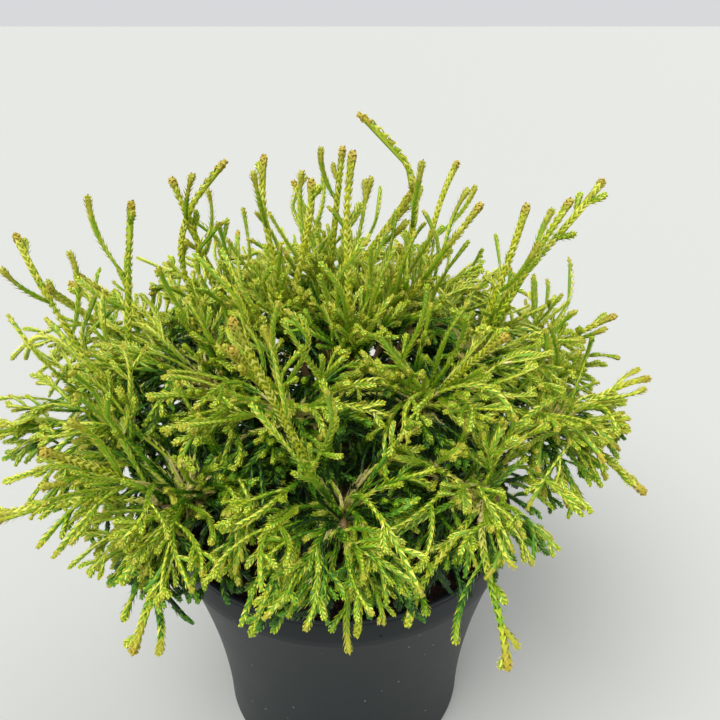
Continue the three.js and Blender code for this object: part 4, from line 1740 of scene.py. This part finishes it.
@dataclass
class Space:
    """Where shoots may grow."""

    rule: CrownRule
    stem: StemRule
    pot: Pot
    homes: list[Array] = field(default_factory=list)  # each mass's stem and leaders as places

    def is_free(self, points: Array, index: int, girth: float) -> NDArray[np.bool_]:
        """May a shoot of a mass pass through places?

        Args:
            points: the places.
            index: the mass's number.
            girth: the shoot's girth.

        Returns:
            True where a place is clear of the pot's wall, over the compost, off the stem and in or near the
            mass's own space.
        """
        out = np.hypot(points[..., 0], points[..., 1])
        height = points[..., 2]
        inner = self.pot.collar_radius - self.pot.wall - girth - self.rule.wall_gap
        outer = self.pot.lip_radius + girth + self.rule.wall_gap
        over_rim = self.pot.height + girth + self.rule.rim_gap
        over_compost = self.rule.compost_top + girth
        floor = np.where(out < inner, over_compost, np.where(out < outer, over_rim, self.rule.hem))
        trunk = self.stem.path.at(np.linspace(0.0, 1.0, self.rule.trunk_places)[None])[0]
        away = np.linalg.norm(points[..., None, :] - trunk, axis=-1).min(axis=-1)
        is_clear = (height > floor) & (away > self.stem.radius + girth)
        flat = points.reshape(-1, 3)

        def nearest(places: Array) -> Array:
            """Distance from each point to the nearest of some places."""
            gap = flat[:, None, :] - places[None]
            return np.sqrt((gap * gap).sum(axis=-1).min(axis=-1)).reshape(out.shape)

        own = nearest(self.homes[index])
        others = nearest(np.concatenate([home for i, home in enumerate(self.homes) if i != index]))
        return is_clear & (own < others + self.rule.lean_over)

    def longest_free(self, index: int, tries: list[Paths]) -> tuple[Paths, Numbers]:
        """Takes for each shoot the first of several tries that is free from near its root to its tip.

        Args:
            index: the mass's number.
            tries: the same shoots, each time shorter.

        Returns:
            The paths of the shoots that fit, and their numbers.
        """
        chosen = np.full(len(tries[0].start), -1)
        share = np.linspace(self.rule.untested, 1.0, self.rule.shoot_places)
        shortest = self.rule.shortest * 0.999  # so that rounding leaves out no shoot of just that length
        for i, paths in enumerate(tries):
            points = paths.at(np.broadcast_to(share, (len(chosen), len(share))))
            fits = self.is_free(points, index, self.rule.shoot_girth).all(axis=-1)
            fits &= paths.length >= shortest
            chosen = np.where((chosen < 0) & fits, i, chosen)
        numbers = [np.nonzero(chosen == i)[0] for i in range(len(tries))]
        fitting = [paths.pick(number) for paths, number in zip(tries, numbers)]
        return Paths.joined(fitting), np.concatenate(numbers)


@dataclass
class FoliageMass:
    """One mass of foliage, grown by the crown's rule."""

    spec: MassSpec
    tier: TierSpec
    index: int
    seat: float  # of its bough on the stem, as a share of the height
    space: Space
    scales: ScaleRule = field(default_factory=ScaleRule)

    @property
    def rule(self) -> CrownRule:
        """The crown's rule."""
        return self.space.rule

    @property
    def name(self) -> str:
        """The mass's name, as in its nodes."""
        return f"{self.tier.name}_{self.spec.side}"

    @property
    def frame(self) -> tuple[Array, Array, Array, Array]:
        """Where the mass's stem starts and which way it points.

        Returns:
            The hub, the axis away from the crown's heart, and two directions square to the axis.
        """
        bearing, out, height = self.spec.hub
        hub = heading(bearing, 0.0) * out
        hub[2] = height
        axis = unit(hub - np.array([0.0, 0.0, self.rule.heart]))
        side = unit(np.cross(UP, axis))
        return hub, axis, side, np.cross(axis, side)

    @property
    def stem(self) -> Paths:
        """The woody stem.

        Returns:
            A straight path that goes on from the bough's tip.
        """
        hub, axis, _, _ = self.frame
        start = hub + self.rule.stem_gap * axis
        return Paths(start[None], (axis * self.rule.stem_length)[None], np.zeros((1, 3)))

    @property
    def bough(self) -> Paths:
        """The limb that carries the mass.

        Returns:
            A path from its seat on the main stem to the hub, where it runs along the mass's axis.
        """
        hub, axis, _, _ = self.frame
        start = self.space.stem.path.at(np.array([self.seat]))[0]
        way = hub - start
        bend = hub - axis * (self.rule.bough_sweep * np.linalg.norm(way))
        return Paths(start[None], way[None], (0.5 * (bend - start - 0.5 * way))[None])

    def luck(self, number: Numbers | int, *uses: int) -> list[Array]:
        """Numbers of chance for this mass's shoots, an array for each use."""
        return [chance(self.index, number, use) for use in uses]

    def on_stem(self, share: Array) -> Array:
        """Places on the mass's stem at shares of its length."""
        return self.stem.at(share[None])[0]

    def on_bough(self, share: Array) -> Array:
        """Places on the mass's bough at shares of its length."""
        return self.bough.at(share[None])[0]

    def level(self, turn: Array) -> Array:
        """Level directions that are turned away from the mass's own bearing."""
        _, axis, side, _ = self.frame
        return turned(unit(axis * FLAT), side, turn)

    def shoot_paths(
        self, start: Array, direction: Array, length: Array, sway: Array, arch: Array, wave: Array
    ) -> Paths:
        """Paths of shoots.

        Args:
            start: their roots.
            direction: their directions.
            length: their lengths.
            sway: how far their middles swing to a side, as shares of the lengths.
            arch: how far the middles of level ones rise, as shares of the lengths.
            wave: how far they wind to and fro, as shares of the lengths.

        Returns:
            Straight ways to the tips, with a level swing to the side and an upward one, and a wave.
        """
        level = unit(np.cross(direction, UP))
        swing = level * (sway * length)[:, None]
        swing[:, 2] = arch * length * (1.0 - direction[:, 2] ** 2)
        return Paths(start, direction * length[:, None], swing, level * (wave * length)[:, None])

    def leaders(self) -> Paths:
        """The leaders.

        Returns:
            Paths rooted past the middle of the mass's stem, as its rows give them, with a little sway, arch
            and wave. The crooked ones swing as their rows say.
        """
        rows = self.spec.leaders
        number = np.arange(len(rows))
        root = self.on_stem(np.full(len(rows), self.rule.leader_root))
        direction = np.array([heading(row[0], row[1]) for row in rows])
        length = np.array([float(row[2]) for row in rows])
        sway, wave = self.luck(number, 9, 8)
        sway, wave = self.rule.leader_sway * (2.0 * sway - 1.0), self.rule.leader_wave * (2.0 * wave - 1.0)
        arch = np.full(len(rows), self.rule.leader_arch)
        paths = self.shoot_paths(root, direction, length, sway, arch, wave)
        for i, row in enumerate(rows):
            if len(row) > 3:
                towards, swing, outer = heading(row[3], 0.0), row[4], row[5]
                paths.swing[i] = towards * swing
                paths.wave[i] = towards * -outer
        return paths

    def home(self) -> Array:
        """The mass's stem and leaders as places.

        Returns:
            The places. What is nearer to them than to another mass's is this mass's space.
        """
        places = []
        for paths in (self.stem, self.leaders()):
            for i, length in enumerate(paths.length):
                steps = math.ceil(length / self.rule.home_step)
                places.append(paths.pick(np.array([i])).at(np.linspace(0.0, 1.0, steps + 1)[None])[0])
        return np.concatenate(places)

    def grown(
        self, start: Array, direction: Array, length: Array, arch: Array, use: int
    ) -> tuple[Paths, Numbers]:
        """Shoots of a mass as long as they may be.

        Args:
            start: their roots.
            direction: their directions.
            length: their lengths where nothing is in the way.
            arch: how far their middles rise, as a share of the length.
            use: which numbers of chance they take.

        Returns:
            Their paths, with a little sway and wave, and the numbers of those that fit.
        """
        number = np.arange(len(start))
        sway, wave = self.luck(number, use, use + 1)
        sway, wave = self.rule.sway * (2.0 * sway - 1.0), self.rule.wave * (2.0 * wave - 1.0)
        shares = self.rule.tries
        tries = [self.shoot_paths(start, direction, length * share, sway, arch, wave) for share in shares]
        return self.space.longest_free(self.index, tries)

    def fountain(self, number: Numbers, use: int, lift: float) -> tuple[Array, Array]:
        """Directions of shoots that lie over the crown like the jets of a fountain.

        Args:
            number: the shoots' numbers.
            use: which number of chance they take.
            lift: how much steeper they are than the tier's rises, in degrees.

        Returns:
            The directions, and how high each stands, from -1 to 1. Two series of fractions that fill their
            square evenly give the bearing, up to the rule's spread to each side of the mass's own, and the
            height. The ones that point straight outwards drape lower.
        """
        across, high = self.luck(0, use, use + 1)
        across = (across + number * SQUARE_SHARES[0]) % 1.0
        high = (high + number * SQUARE_SHARES[1]) % 1.0
        turn = np.radians(self.rule.spread) * (2.0 * across - 1.0)
        lowest, highest = self.tier.rises
        drape = self.tier.drape * np.maximum(np.cos(turn), 0.0)
        rise = np.radians(lowest + lift + (highest - lowest) * high - drape)
        return turned(self.level(turn), UP, rise), 2.0 * high - 1.0

    def dealt(self) -> tuple[Paths, Numbers, Array]:
        """The shoots dealt out round the stem.

        Returns:
            Their paths and numbers, and how high each stands, from -1 to 1. Twice as many are tried as are
            kept, because some don't fit.
        """
        rule, tier, centre = self.rule, self.tier, self.spec.centre
        number = np.arange(round(2 * tier.shoots * self.spec.lush))
        root, reach, length, arch = self.luck(number, 12, 3, 5, 6)
        direction, upper = self.fountain(number, 1, rule.dealt_lift)
        start = self.on_stem((centre + rule.dealt_root) * (1.0 - rule.dealt_back * root))
        reach = rule.reach(start, direction) * spanned(rule.dealt_reach, reach)
        length = np.minimum(reach, rule.longest * spanned(rule.dealt_length, length))
        arch = tier.arch * spanned(rule.dealt_arch, arch)
        paths, order = self.grown(start, direction, length, arch, 7)
        first = np.argsort(order)[: round(tier.shoots * self.spec.lush)]
        return paths.pick(first), order[first], upper[order[first]]

    def star(self) -> tuple[Paths, Numbers, Array]:
        """The shoots that radiate from the end of the stem and lie over the crown.

        Returns:
            Their paths and numbers, and how high each stands, from -1 to 1.
        """
        rule, tier = self.rule, self.tier
        number = np.arange(round(tier.star * self.spec.lush))
        root, reach, length, arch = self.luck(number, 33, 34, 35, 36)
        direction, upper = self.fountain(number, 30, rule.star_lift)
        start = self.on_stem(self.spec.centre + rule.star_root * root)
        reach = rule.reach(start, direction) * spanned(rule.star_reach, reach)
        length = np.minimum(reach, spanned(rule.star_length, length))
        arch = tier.arch * spanned(rule.star_arch, arch)
        paths, order = self.grown(start, direction, length, arch, 37)
        return paths, order, upper[order]

    def rising(self) -> tuple[Paths, Numbers, Array]:
        """The upright shoots.

        Returns:
            Their paths and numbers, and 1 for each, as they stand on the upper side. They lean outwards a
            little and end above the crown's outline, most of them not far.
        """
        rule = self.rule
        number = np.arange(self.tier.rising)
        lean, turn, root, length = self.luck(number, 52, 53, 54, 55)
        lean = np.radians(spanned(rule.rising_lean, lean))
        turn = np.radians(rule.rising_spread) * (turn - 0.5)
        direction = turned(UP, self.level(turn), lean)
        start = self.on_stem(spanned(rule.rising_root, root))
        past, more = rule.rising_past
        length = rule.reach(start, direction) + past + more * length**rule.rising_power
        length = np.clip(length, *rule.rising_lengths)
        paths, order = self.grown(start, direction, length, np.zeros(len(number)), 57)
        return paths, order, np.ones(len(order))

    def hanging(self) -> tuple[Paths, Numbers, Array]:
        """The curtain of shoots that hang from the stem and the bough, outwards and down.

        Returns:
            Their paths and numbers, and -1 for each, as they are on the lower side.
        """
        rule = self.rule
        number = np.arange(round(self.tier.hanging * self.spec.lush))
        fall, turn, root, length, reach = self.luck(number, 72, 73, 74, 75, 76)
        fall = np.radians(spanned(rule.hanging_fall, fall))
        turn = np.radians(rule.hanging_spread) * (turn - 0.5)
        direction = turned(self.level(turn), -UP, fall)
        on_bough = self.on_bough(spanned(rule.hanging_bough, root))
        on_stem = self.on_stem(spanned(rule.hanging_stem, root))
        start = np.where((root < rule.hanging_on_bough)[:, None], on_bough, on_stem)
        reach = rule.reach(start, direction) * spanned(rule.hanging_reach, reach)
        length = np.minimum(spanned(rule.hanging_length, length), reach)
        arch = np.full(len(number), rule.hanging_arch)
        paths, order = self.grown(start, direction, length, arch, 77)
        return paths, order, -np.ones(len(order))

    def inner(self) -> tuple[Paths, Numbers, Array]:
        """Short shoots all round the bough and the stem, that fill the crown's depth.

        Returns:
            Their paths and numbers, and 0 for each, as they have no upper side. Their directions are dealt
            over a ball by the golden angle.
        """
        rule = self.rule
        number = np.arange(self.tier.inner)
        root, length = self.luck(number, 21, 22)
        rise = 1.0 - 2.0 * (number + 0.5) / self.tier.inner
        turn = number * GOLDEN_ANGLE + self.index
        flat = np.sqrt(1.0 - rise * rise)
        direction = np.stack([flat * np.cos(turn), flat * np.sin(turn), rise], axis=-1)
        on_bough = self.on_bough(spanned(rule.inner_bough, root))
        on_stem = self.on_stem(rule.inner_stem * (root - rule.inner_on_bough))
        start = np.where((root < rule.inner_on_bough)[:, None], on_bough, on_stem)
        arch = np.full(len(number), rule.inner_arch)
        paths, order = self.grown(start, direction, spanned(rule.inner_length, length), arch, 23)
        return paths, order, np.zeros(len(order))

    def tuft(self) -> Paths:
        """Short stubs of old shoots round the end of the stem.

        Returns:
            Their paths, turned round the mass's axis by the golden angle, at an angle a to it: axis cos a +
            (side cos turn + over sin turn) sin a.
        """
        rule = self.rule
        _, axis, side, over = self.frame
        number = np.arange(rule.stubs)
        angle, root, length = self.luck(number, 42, 43, 44)
        turn = number * GOLDEN_ANGLE
        angle = np.radians(spanned(rule.stub_angle, angle))
        direction = (
            axis * np.cos(angle)[:, None]
            + side * (np.sin(angle) * np.cos(turn))[:, None]
            + over * (np.sin(angle) * np.sin(turn))[:, None]
        )
        start = self.on_stem(self.spec.centre + rule.stub_root * root)
        none = np.zeros(len(number))
        length = spanned(rule.stub_length, length)
        return self.shoot_paths(start, direction, length, none, none + rule.stub_arch, none)

    def branches(self, parents: Shoots, rule: BranchRule, use: int) -> Shoots:
        """Side shoots of shoots.

        Args:
            parents: the shoots that bear them.
            rule: how they stand.
            use: which numbers of chance they take.

        Returns:
            They stand off to alternate sides, nearly in one plane, curve forward, and are the longer the
            further they sit from the tip.
        """
        count = len(parents.girth)
        spot = np.tile(np.arange(rule.places), count)
        which = np.repeat(np.arange(count), rule.places)
        number = parents.number[which] * BRANCH_STEP + spot + 1
        luck = np.stack([chance(self.index + Seed.BRANCHES + use, number, k) for k in range(8)])
        place_luck, likely, _, _, length_luck, _, _, _ = luck
        stretch = spot + rule.within[0] + rule.within[1] * place_luck
        share = rule.nearest + (rule.farthest - rule.nearest) * stretch / rule.places
        left = (1.0 - share) * parents.paths.length[which]
        length = left * (rule.rest * spanned(rule.rest_vary, length_luck)) + rule.extra
        length = np.minimum(length, rule.lengths[1])
        kept = (likely < rule.likelihood) & (length >= rule.lengths[0])
        which, number, share, length, spot = which[kept], number[kept], share[kept], length[kept], spot[kept]
        _, _, roll_luck, angle_luck, _, girth_luck, light_luck, wave_luck = luck[:, kept]

        parent = parents.paths.pick(which)
        along = parent.along(share)
        across, over = side_frame(along, level_hint(parents.paths)[which])
        plane_luck = chance(self.index + Seed.PLANES, parents.number[which], use)
        plane = np.radians(rule.plane_turn) * (plane_luck - 0.5)
        roll = plane + math.pi * (spot % 2) + np.radians(rule.own_turn) * (roll_luck - 0.5)
        out = turned(across, over, roll)
        low, high = rule.angles
        angle = np.radians(low + (high - low) * angle_luck)
        level = 1.0 - along[:, 2:] ** 2
        way = (turned(along, out, angle) - UP * (rule.droop * level)) * length[:, None]
        swing = (out * rule.curve + UP * (rule.sag * rule.droop * level)) * length[:, None]
        wave = over * (rule.winding * (wave_luck - 0.5) * length)[:, None]
        paths = Paths(parent.at(share), way, swing, wave)

        past, reach_share = self.rule.branch_reach
        reach = self.rule.reach(paths.start, unit(way))
        is_within = (parents.vigour[which] > LEADER_VIGOUR) | (length < reach_share * reach + past)
        tests = np.broadcast_to(np.array(self.rule.branch_tests), (len(length), len(self.rule.branch_tests)))
        is_free = self.space.is_free(paths.at(tests), self.index, self.rule.branch_girth)
        free = is_free.all(axis=-1) & is_within
        light = parents.light[which] + rule.light_above * out[:, 2] + rule.light_vary * (light_luck - 0.5)
        least, old = rule.straw
        bud = parents.amber[which] * spanned(rule.bud, angle_luck)
        made = Shoots(
            paths=paths,
            girth=parents.girth[which] * (rule.girth + rule.girth_vary * (girth_luck - 0.5)),
            vigour=parents.vigour[which] * rule.vigour,
            light=np.clip(light, 0.0, 1.0),
            straw=np.where(light_luck > least, old * parents.straw[which], 0.0),
            amber=np.where(girth_luck < rule.amber, bud, 0.0),
            number=number,
        )
        return made.pick(free)

    def clothed(self, kind: ShootKind, paths: Paths, number: Numbers, upper: Array) -> Shoots:
        """Shoots of a kind with their girth, vigour, light, old leaves and buds.

        Args:
            kind: what kind of shoot.
            paths: their paths.
            number: their numbers.
            upper: how far each leans to the mass's upper side, from -1 to 1.

        Returns:
            The shoots, numbered apart from those of other kinds.
        """
        look = kind.value
        own = number + KIND_STEP * (1 + list(ShootKind).index(kind))
        light_luck, girth_luck, vigour_luck, straw_luck, length_luck, bud_luck = (
            chance(self.index + Seed.LOOKS, own, use) for use in range(6)
        )
        light = look.light + self.tier.light + look.upper * upper + look.steep * unit(paths.way)[:, 2]
        light = np.clip(light + look.light_vary * (light_luck - 0.5), 0.0, 1.0)
        vigour = look.vigour + look.vigour_vary * (vigour_luck - 0.5)
        old = spanned(self.rule.old_length, length_luck) / paths.length
        old = np.minimum(spanned(self.rule.old_share, length_luck), old)
        old = np.ones(len(own)) if look.is_old else np.where(straw_luck < look.straw, old, 0.0)
        return Shoots(
            paths=paths,
            girth=look.girth * spanned(self.rule.girth_vary, girth_luck),
            vigour=np.clip(vigour, 0.0, look.most_vigour),
            light=light,
            straw=old * self.tier.old,
            amber=np.where(bud_luck < look.budding, spanned(look.bud, length_luck), 0.0),
            number=own,
        )

    def plain(self, kind: ShootKind, paths: Paths) -> Shoots:
        """Shoots of a kind that all fit and have no upper side."""
        number = np.arange(len(paths.start))
        return self.clothed(kind, paths, number, np.zeros(len(number)))

    def shoots(self) -> tuple[Shoots, Shoots]:
        """All shoots of the mass.

        Returns:
            The shoots of all kinds with their branches, and the short fingers near the long ones' ends.
        """
        leading = self.plain(ShootKind.LEADER, self.leaders())
        dealt = self.clothed(ShootKind.DEALT, *self.dealt())
        star = self.clothed(ShootKind.STAR, *self.star())
        rising = self.clothed(ShootKind.RISING, *self.rising())
        hanging = self.clothed(ShootKind.HANGING, *self.hanging())
        inner = self.clothed(ShootKind.INNER, *self.inner())
        tuft = self.plain(ShootKind.STUB, self.tuft())
        combs = self.branches(dealt, self.tier.combs, 1)
        forks = self.branches(Shoots.joined([leading, star, rising, hanging]), FORKS, 2)
        long = Shoots.joined([leading, dealt, star, rising, hanging, combs, forks])
        return Shoots.joined([long, inner, tuft]), self.branches(long, FINGERS, 3)

    def build(self, finishes: list[Material]) -> tuple[Object, Object]:
        """Builds the mass as two pieces.

        Args:
            finishes: one material for each tint.

        Returns:
            Its leaves, and its twigs with its woody stem.
        """
        main, fingers = self.shoots()
        scales, rule = self.scales, self.rule
        long = scales.leaves(main, rule, self.index)
        short = scales.leaves(fingers, rule, self.index + Seed.FINGERS)
        radii = np.linspace(*rule.stem_radii, rule.stem_rings + 1)[None]
        stem = limb_surface(self.stem, rule.stem_sides, rule.stem_rings, radii)
        stem.tints[:] = TINTS.index(Tint.WOOD)
        thick = scales.twigs(main, rule, scales.twig_rings)
        thin = scales.twigs(fingers, rule, scales.finger_rings)
        return (
            Surface.joined([long, short]).build(f"leaves_{self.name}", finishes, is_smooth=False),
            Surface.joined([stem, thick, thin]).build(f"twigs_{self.name}", finishes),
        )


@dataclass
class Crown:
    """All masses, in the space round the stem and the pot."""

    rule: CrownRule = field(default_factory=CrownRule)
    stem: StemRule = field(default_factory=StemRule)
    pot: Pot = field(default_factory=Pot)

    def __post_init__(self) -> None:
        """Makes the masses of all tiers, with seats dealt out along each tier's part of the stem."""
        self.masses: list[FoliageMass] = []
        space = Space(self.rule, self.stem, self.pot)
        for tier in TIERS:
            lowest, highest = tier.seats
            for i, spec in enumerate(tier.masses):
                seat = lowest + (highest - lowest) * ((i * GOLDEN_SHARE) % 1.0)
                self.masses.append(FoliageMass(spec, tier, len(self.masses), seat, space))
        space.homes = [mass.home() for mass in self.masses]


# ---- stem and boughs


@dataclass
class Limbs:
    """The short stem and the boughs, with the bark's relief, in shares of the limbs' radii."""

    crown: Crown
    ridge_radius: float = 5.0  # a limb's way round its noise
    ridge_stretch: float = 0.22  # how much slower the noise changes along a limb
    ridge_step: float = 40.0  # from one limb to the next in the noise
    stem_sides: int = 40
    stem_rings: int = 60
    stem_cells: Pair = (2.2, 1.0)  # widths of its ridges and of its fibres
    stem_relief: float = 0.07
    stem_nose: float = 1.0
    sunk: float = 0.7  # how far its foot is set into the compost's lumps
    bough_sides: int = 14
    bough_rings: int = 24
    bough_cell: float = 2.6
    bough_relief: float = 0.10
    bough_radii: Pair = (2.6, 1.8)  # at the stem and at the tip
    bough_nose: float = 0.5

    def relief(self, paths: Paths, share: Array, sides: int, cell: float, use: int) -> Array:
        """Ridges that run along limbs.

        Args:
            paths: the limbs' middles.
            share: where their rings are, as shares of the lengths.
            sides: corners round a limb.
            cell: width of a ridge.
            use: which noise.

        Returns:
            For each limb, ring and side, the noise at radius (cos a, sin a) and at the stretched way along,
            where each limb begins a step further than the one before.
        """
        count = len(paths.start)
        angle = np.arange(sides) * (2.0 * math.pi / sides)
        along = share[None, :, None] * paths.length[:, None, None]
        shape = (count, len(share), sides)
        place = np.stack(
            [
                np.broadcast_to(self.ridge_radius * np.cos(angle), shape),
                np.broadcast_to(self.ridge_radius * np.sin(angle), shape),
                np.broadcast_to(self.ridge_stretch * along, shape)
                + self.ridge_step * np.arange(count)[:, None, None],
            ],
            axis=-1,
        )
        return cell_noise(place, cell, use)

    def build_stem(self, finish: Material) -> Object:
        """Builds the stem.

        Args:
            finish: its material.

        Returns:
            A limb with the stem's taper and root flare, ridged, and cut flat where it stands.
        """
        rule, sides = self.crown.stem, self.stem_sides
        share = np.linspace(0.0, 1.0, self.stem_rings + 1)
        ridge = self.relief(rule.path, share, sides, self.stem_cells[0], Seed.STEM_RIDGES)
        ridge = ridge + 0.5 * self.relief(rule.path, share, sides, self.stem_cells[1], Seed.STEM_FIBRES)
        radius = rule.radius_at(share)[None, :, None] * (1.0 + self.stem_relief * ridge)
        surface = limb_surface(rule.path, sides, self.stem_rings, radius, nose=self.stem_nose)
        surface.corners[:, 2] = np.maximum(surface.corners[:, 2], self.crown.rule.compost_top - self.sunk)
        return surface.build("stem_bark", [finish])

    def build_boughs(self, finish: Material) -> Object:
        """Builds all boughs as one piece.

        Args:
            finish: their material.

        Returns:
            Ridged limbs, each tapering from the stem to its mass's hub.
        """
        paths = Paths.joined([mass.bough for mass in self.crown.masses])
        share = np.linspace(0.0, 1.0, self.bough_rings + 1)
        ridge = self.relief(paths, share, self.bough_sides, self.bough_cell, Seed.BOUGH_RIDGES)
        root, tip = self.bough_radii
        radius = (root + (tip - root) * share)[None, :, None] * (1.0 + self.bough_relief * ridge)
        surface = limb_surface(paths, self.bough_sides, self.bough_rings, radius, nose=self.bough_nose)
        return surface.build("boughs_bark", [finish])


# ---- studio


@dataclass(frozen=True)
class Sun:
    """A wide lamp far away: where it stands, in degrees, and how strong it is."""

    name: str
    bearing: float
    rise: float
    strength: float


@dataclass(frozen=True)
class Studio:
    """A pale floor, soft light and the camera."""

    floor_colour: Colour = (0.705, 0.708, 0.69)
    floor_half: float = 6000.0
    floor_roughness: float = 0.8
    sky_colour: tuple[float, float, float, float] = (0.96, 0.98, 1.0, 1.0)
    sky_strength: float = 0.71
    sun_width: float = 45.0
    suns: tuple[Sun, ...] = (Sun("key_sun", 232.0, 58.0, 3.1), Sun("back_sun", 50.0, 50.0, 0.7))
    camera_place: tuple[float, float, float] = (9.2, -302.3, 361.4)
    camera_pitch: float = 27.6
    lens: float = 36.9
    sensor: float = 36.0
    clip: Pair = (0.01, 50.0)  # in metres

    def build(self) -> None:
        """Builds floor, sky, lamps and camera."""
        self.build_floor()
        self.build_light()
        self.build_camera()

    def build_floor(self) -> None:
        """Lays the floor under the pot."""
        half = self.floor_half
        corners = np.array([[-half, -half, 0.0], [half, -half, 0.0], [half, half, 0.0], [-half, half, 0.0]])
        bench = Workbench("floor_paper")
        bench.set(Base_Color=linear(self.floor_colour), Roughness=self.floor_roughness)
        Surface(corners, np.array([[0, 1, 2, 3]])).build("floor", [bench.material])

    def build_light(self) -> None:
        """Lights the sky evenly, with a wide soft sun over the front left and a weak one over the back."""
        world = bpy.data.worlds.new("studio")
        world.use_nodes = True
        sky = world.node_tree.nodes["Background"]
        sky.inputs["Color"].default_value = self.sky_colour
        sky.inputs["Strength"].default_value = self.sky_strength
        bpy.context.scene.world = world
        for sun in self.suns:
            lamp = bpy.data.lights.new(sun.name, "SUN")
            lamp.angle = math.radians(self.sun_width)
            lamp.energy = sun.strength
            holder = bpy.data.objects.new(sun.name, lamp)
            holder.rotation_euler = (math.radians(90.0 - sun.rise), 0.0, math.radians(sun.bearing + 90.0))
            bpy.context.scene.collection.objects.link(holder)

    def build_camera(self) -> None:
        """Sets the camera."""
        data = bpy.data.cameras.new("camera")
        data.lens = self.lens
        data.sensor_width = self.sensor
        data.clip_start, data.clip_end = self.clip
        camera = bpy.data.objects.new("camera", data)
        camera.location = tuple(part * MM for part in self.camera_place)
        camera.rotation_euler = (math.radians(90.0 - self.camera_pitch), 0.0, 0.0)
        bpy.context.scene.collection.objects.link(camera)
        bpy.context.scene.camera = camera


# ---- all together


def settle(piece: Object, slot: Slot, *nodes: str) -> None:
    """Lets a piece ride on the plant and take the place of its nodes, which it hides.

    Args:
        piece: the piece.
        slot: its material slot; not used.
        nodes: the nodes that it replaces.
    """
    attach(piece, "root")
    if nodes:
        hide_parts(*nodes)
    count = len(piece.data.loops) - 2 * len(piece.data.polygons)
    log.info("%s: %d triangles", piece.name, count)


def main() -> None:
    """Builds the plant round its frame."""
    logging.basicConfig(level=logging.INFO, format="%(message)s")
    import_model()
    bpy.context.scene.view_settings.view_transform = "Standard"

    Studio().build()
    patterns = Patterns()
    crown = Crown()
    settle(crown.pot.build(PlasticFinish().material(patterns)), Slot.POT, "pot")
    settle(Compost(crown.pot).build(CompostFinish().material(patterns)), Slot.COMPOST, "compost")
    bark = BarkFinish().material(patterns)
    limbs = Limbs(crown)
    settle(limbs.build_stem(bark), Slot.BARK, "stem")
    settle(limbs.build_boughs(bark), Slot.BARK, *(f"bough_{mass.name}" for mass in crown.masses))
    finishes = LeafFinish().materials()
    for mass in crown.masses:
        leaves, twigs = mass.build(finishes)
        settle(leaves, Slot.FOLIAGE, f"foliage_{mass.name}")
        settle(twigs, Slot.FOLIAGE, f"foliage_{mass.name}")

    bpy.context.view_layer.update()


if __name__ == "__main__":
    main()
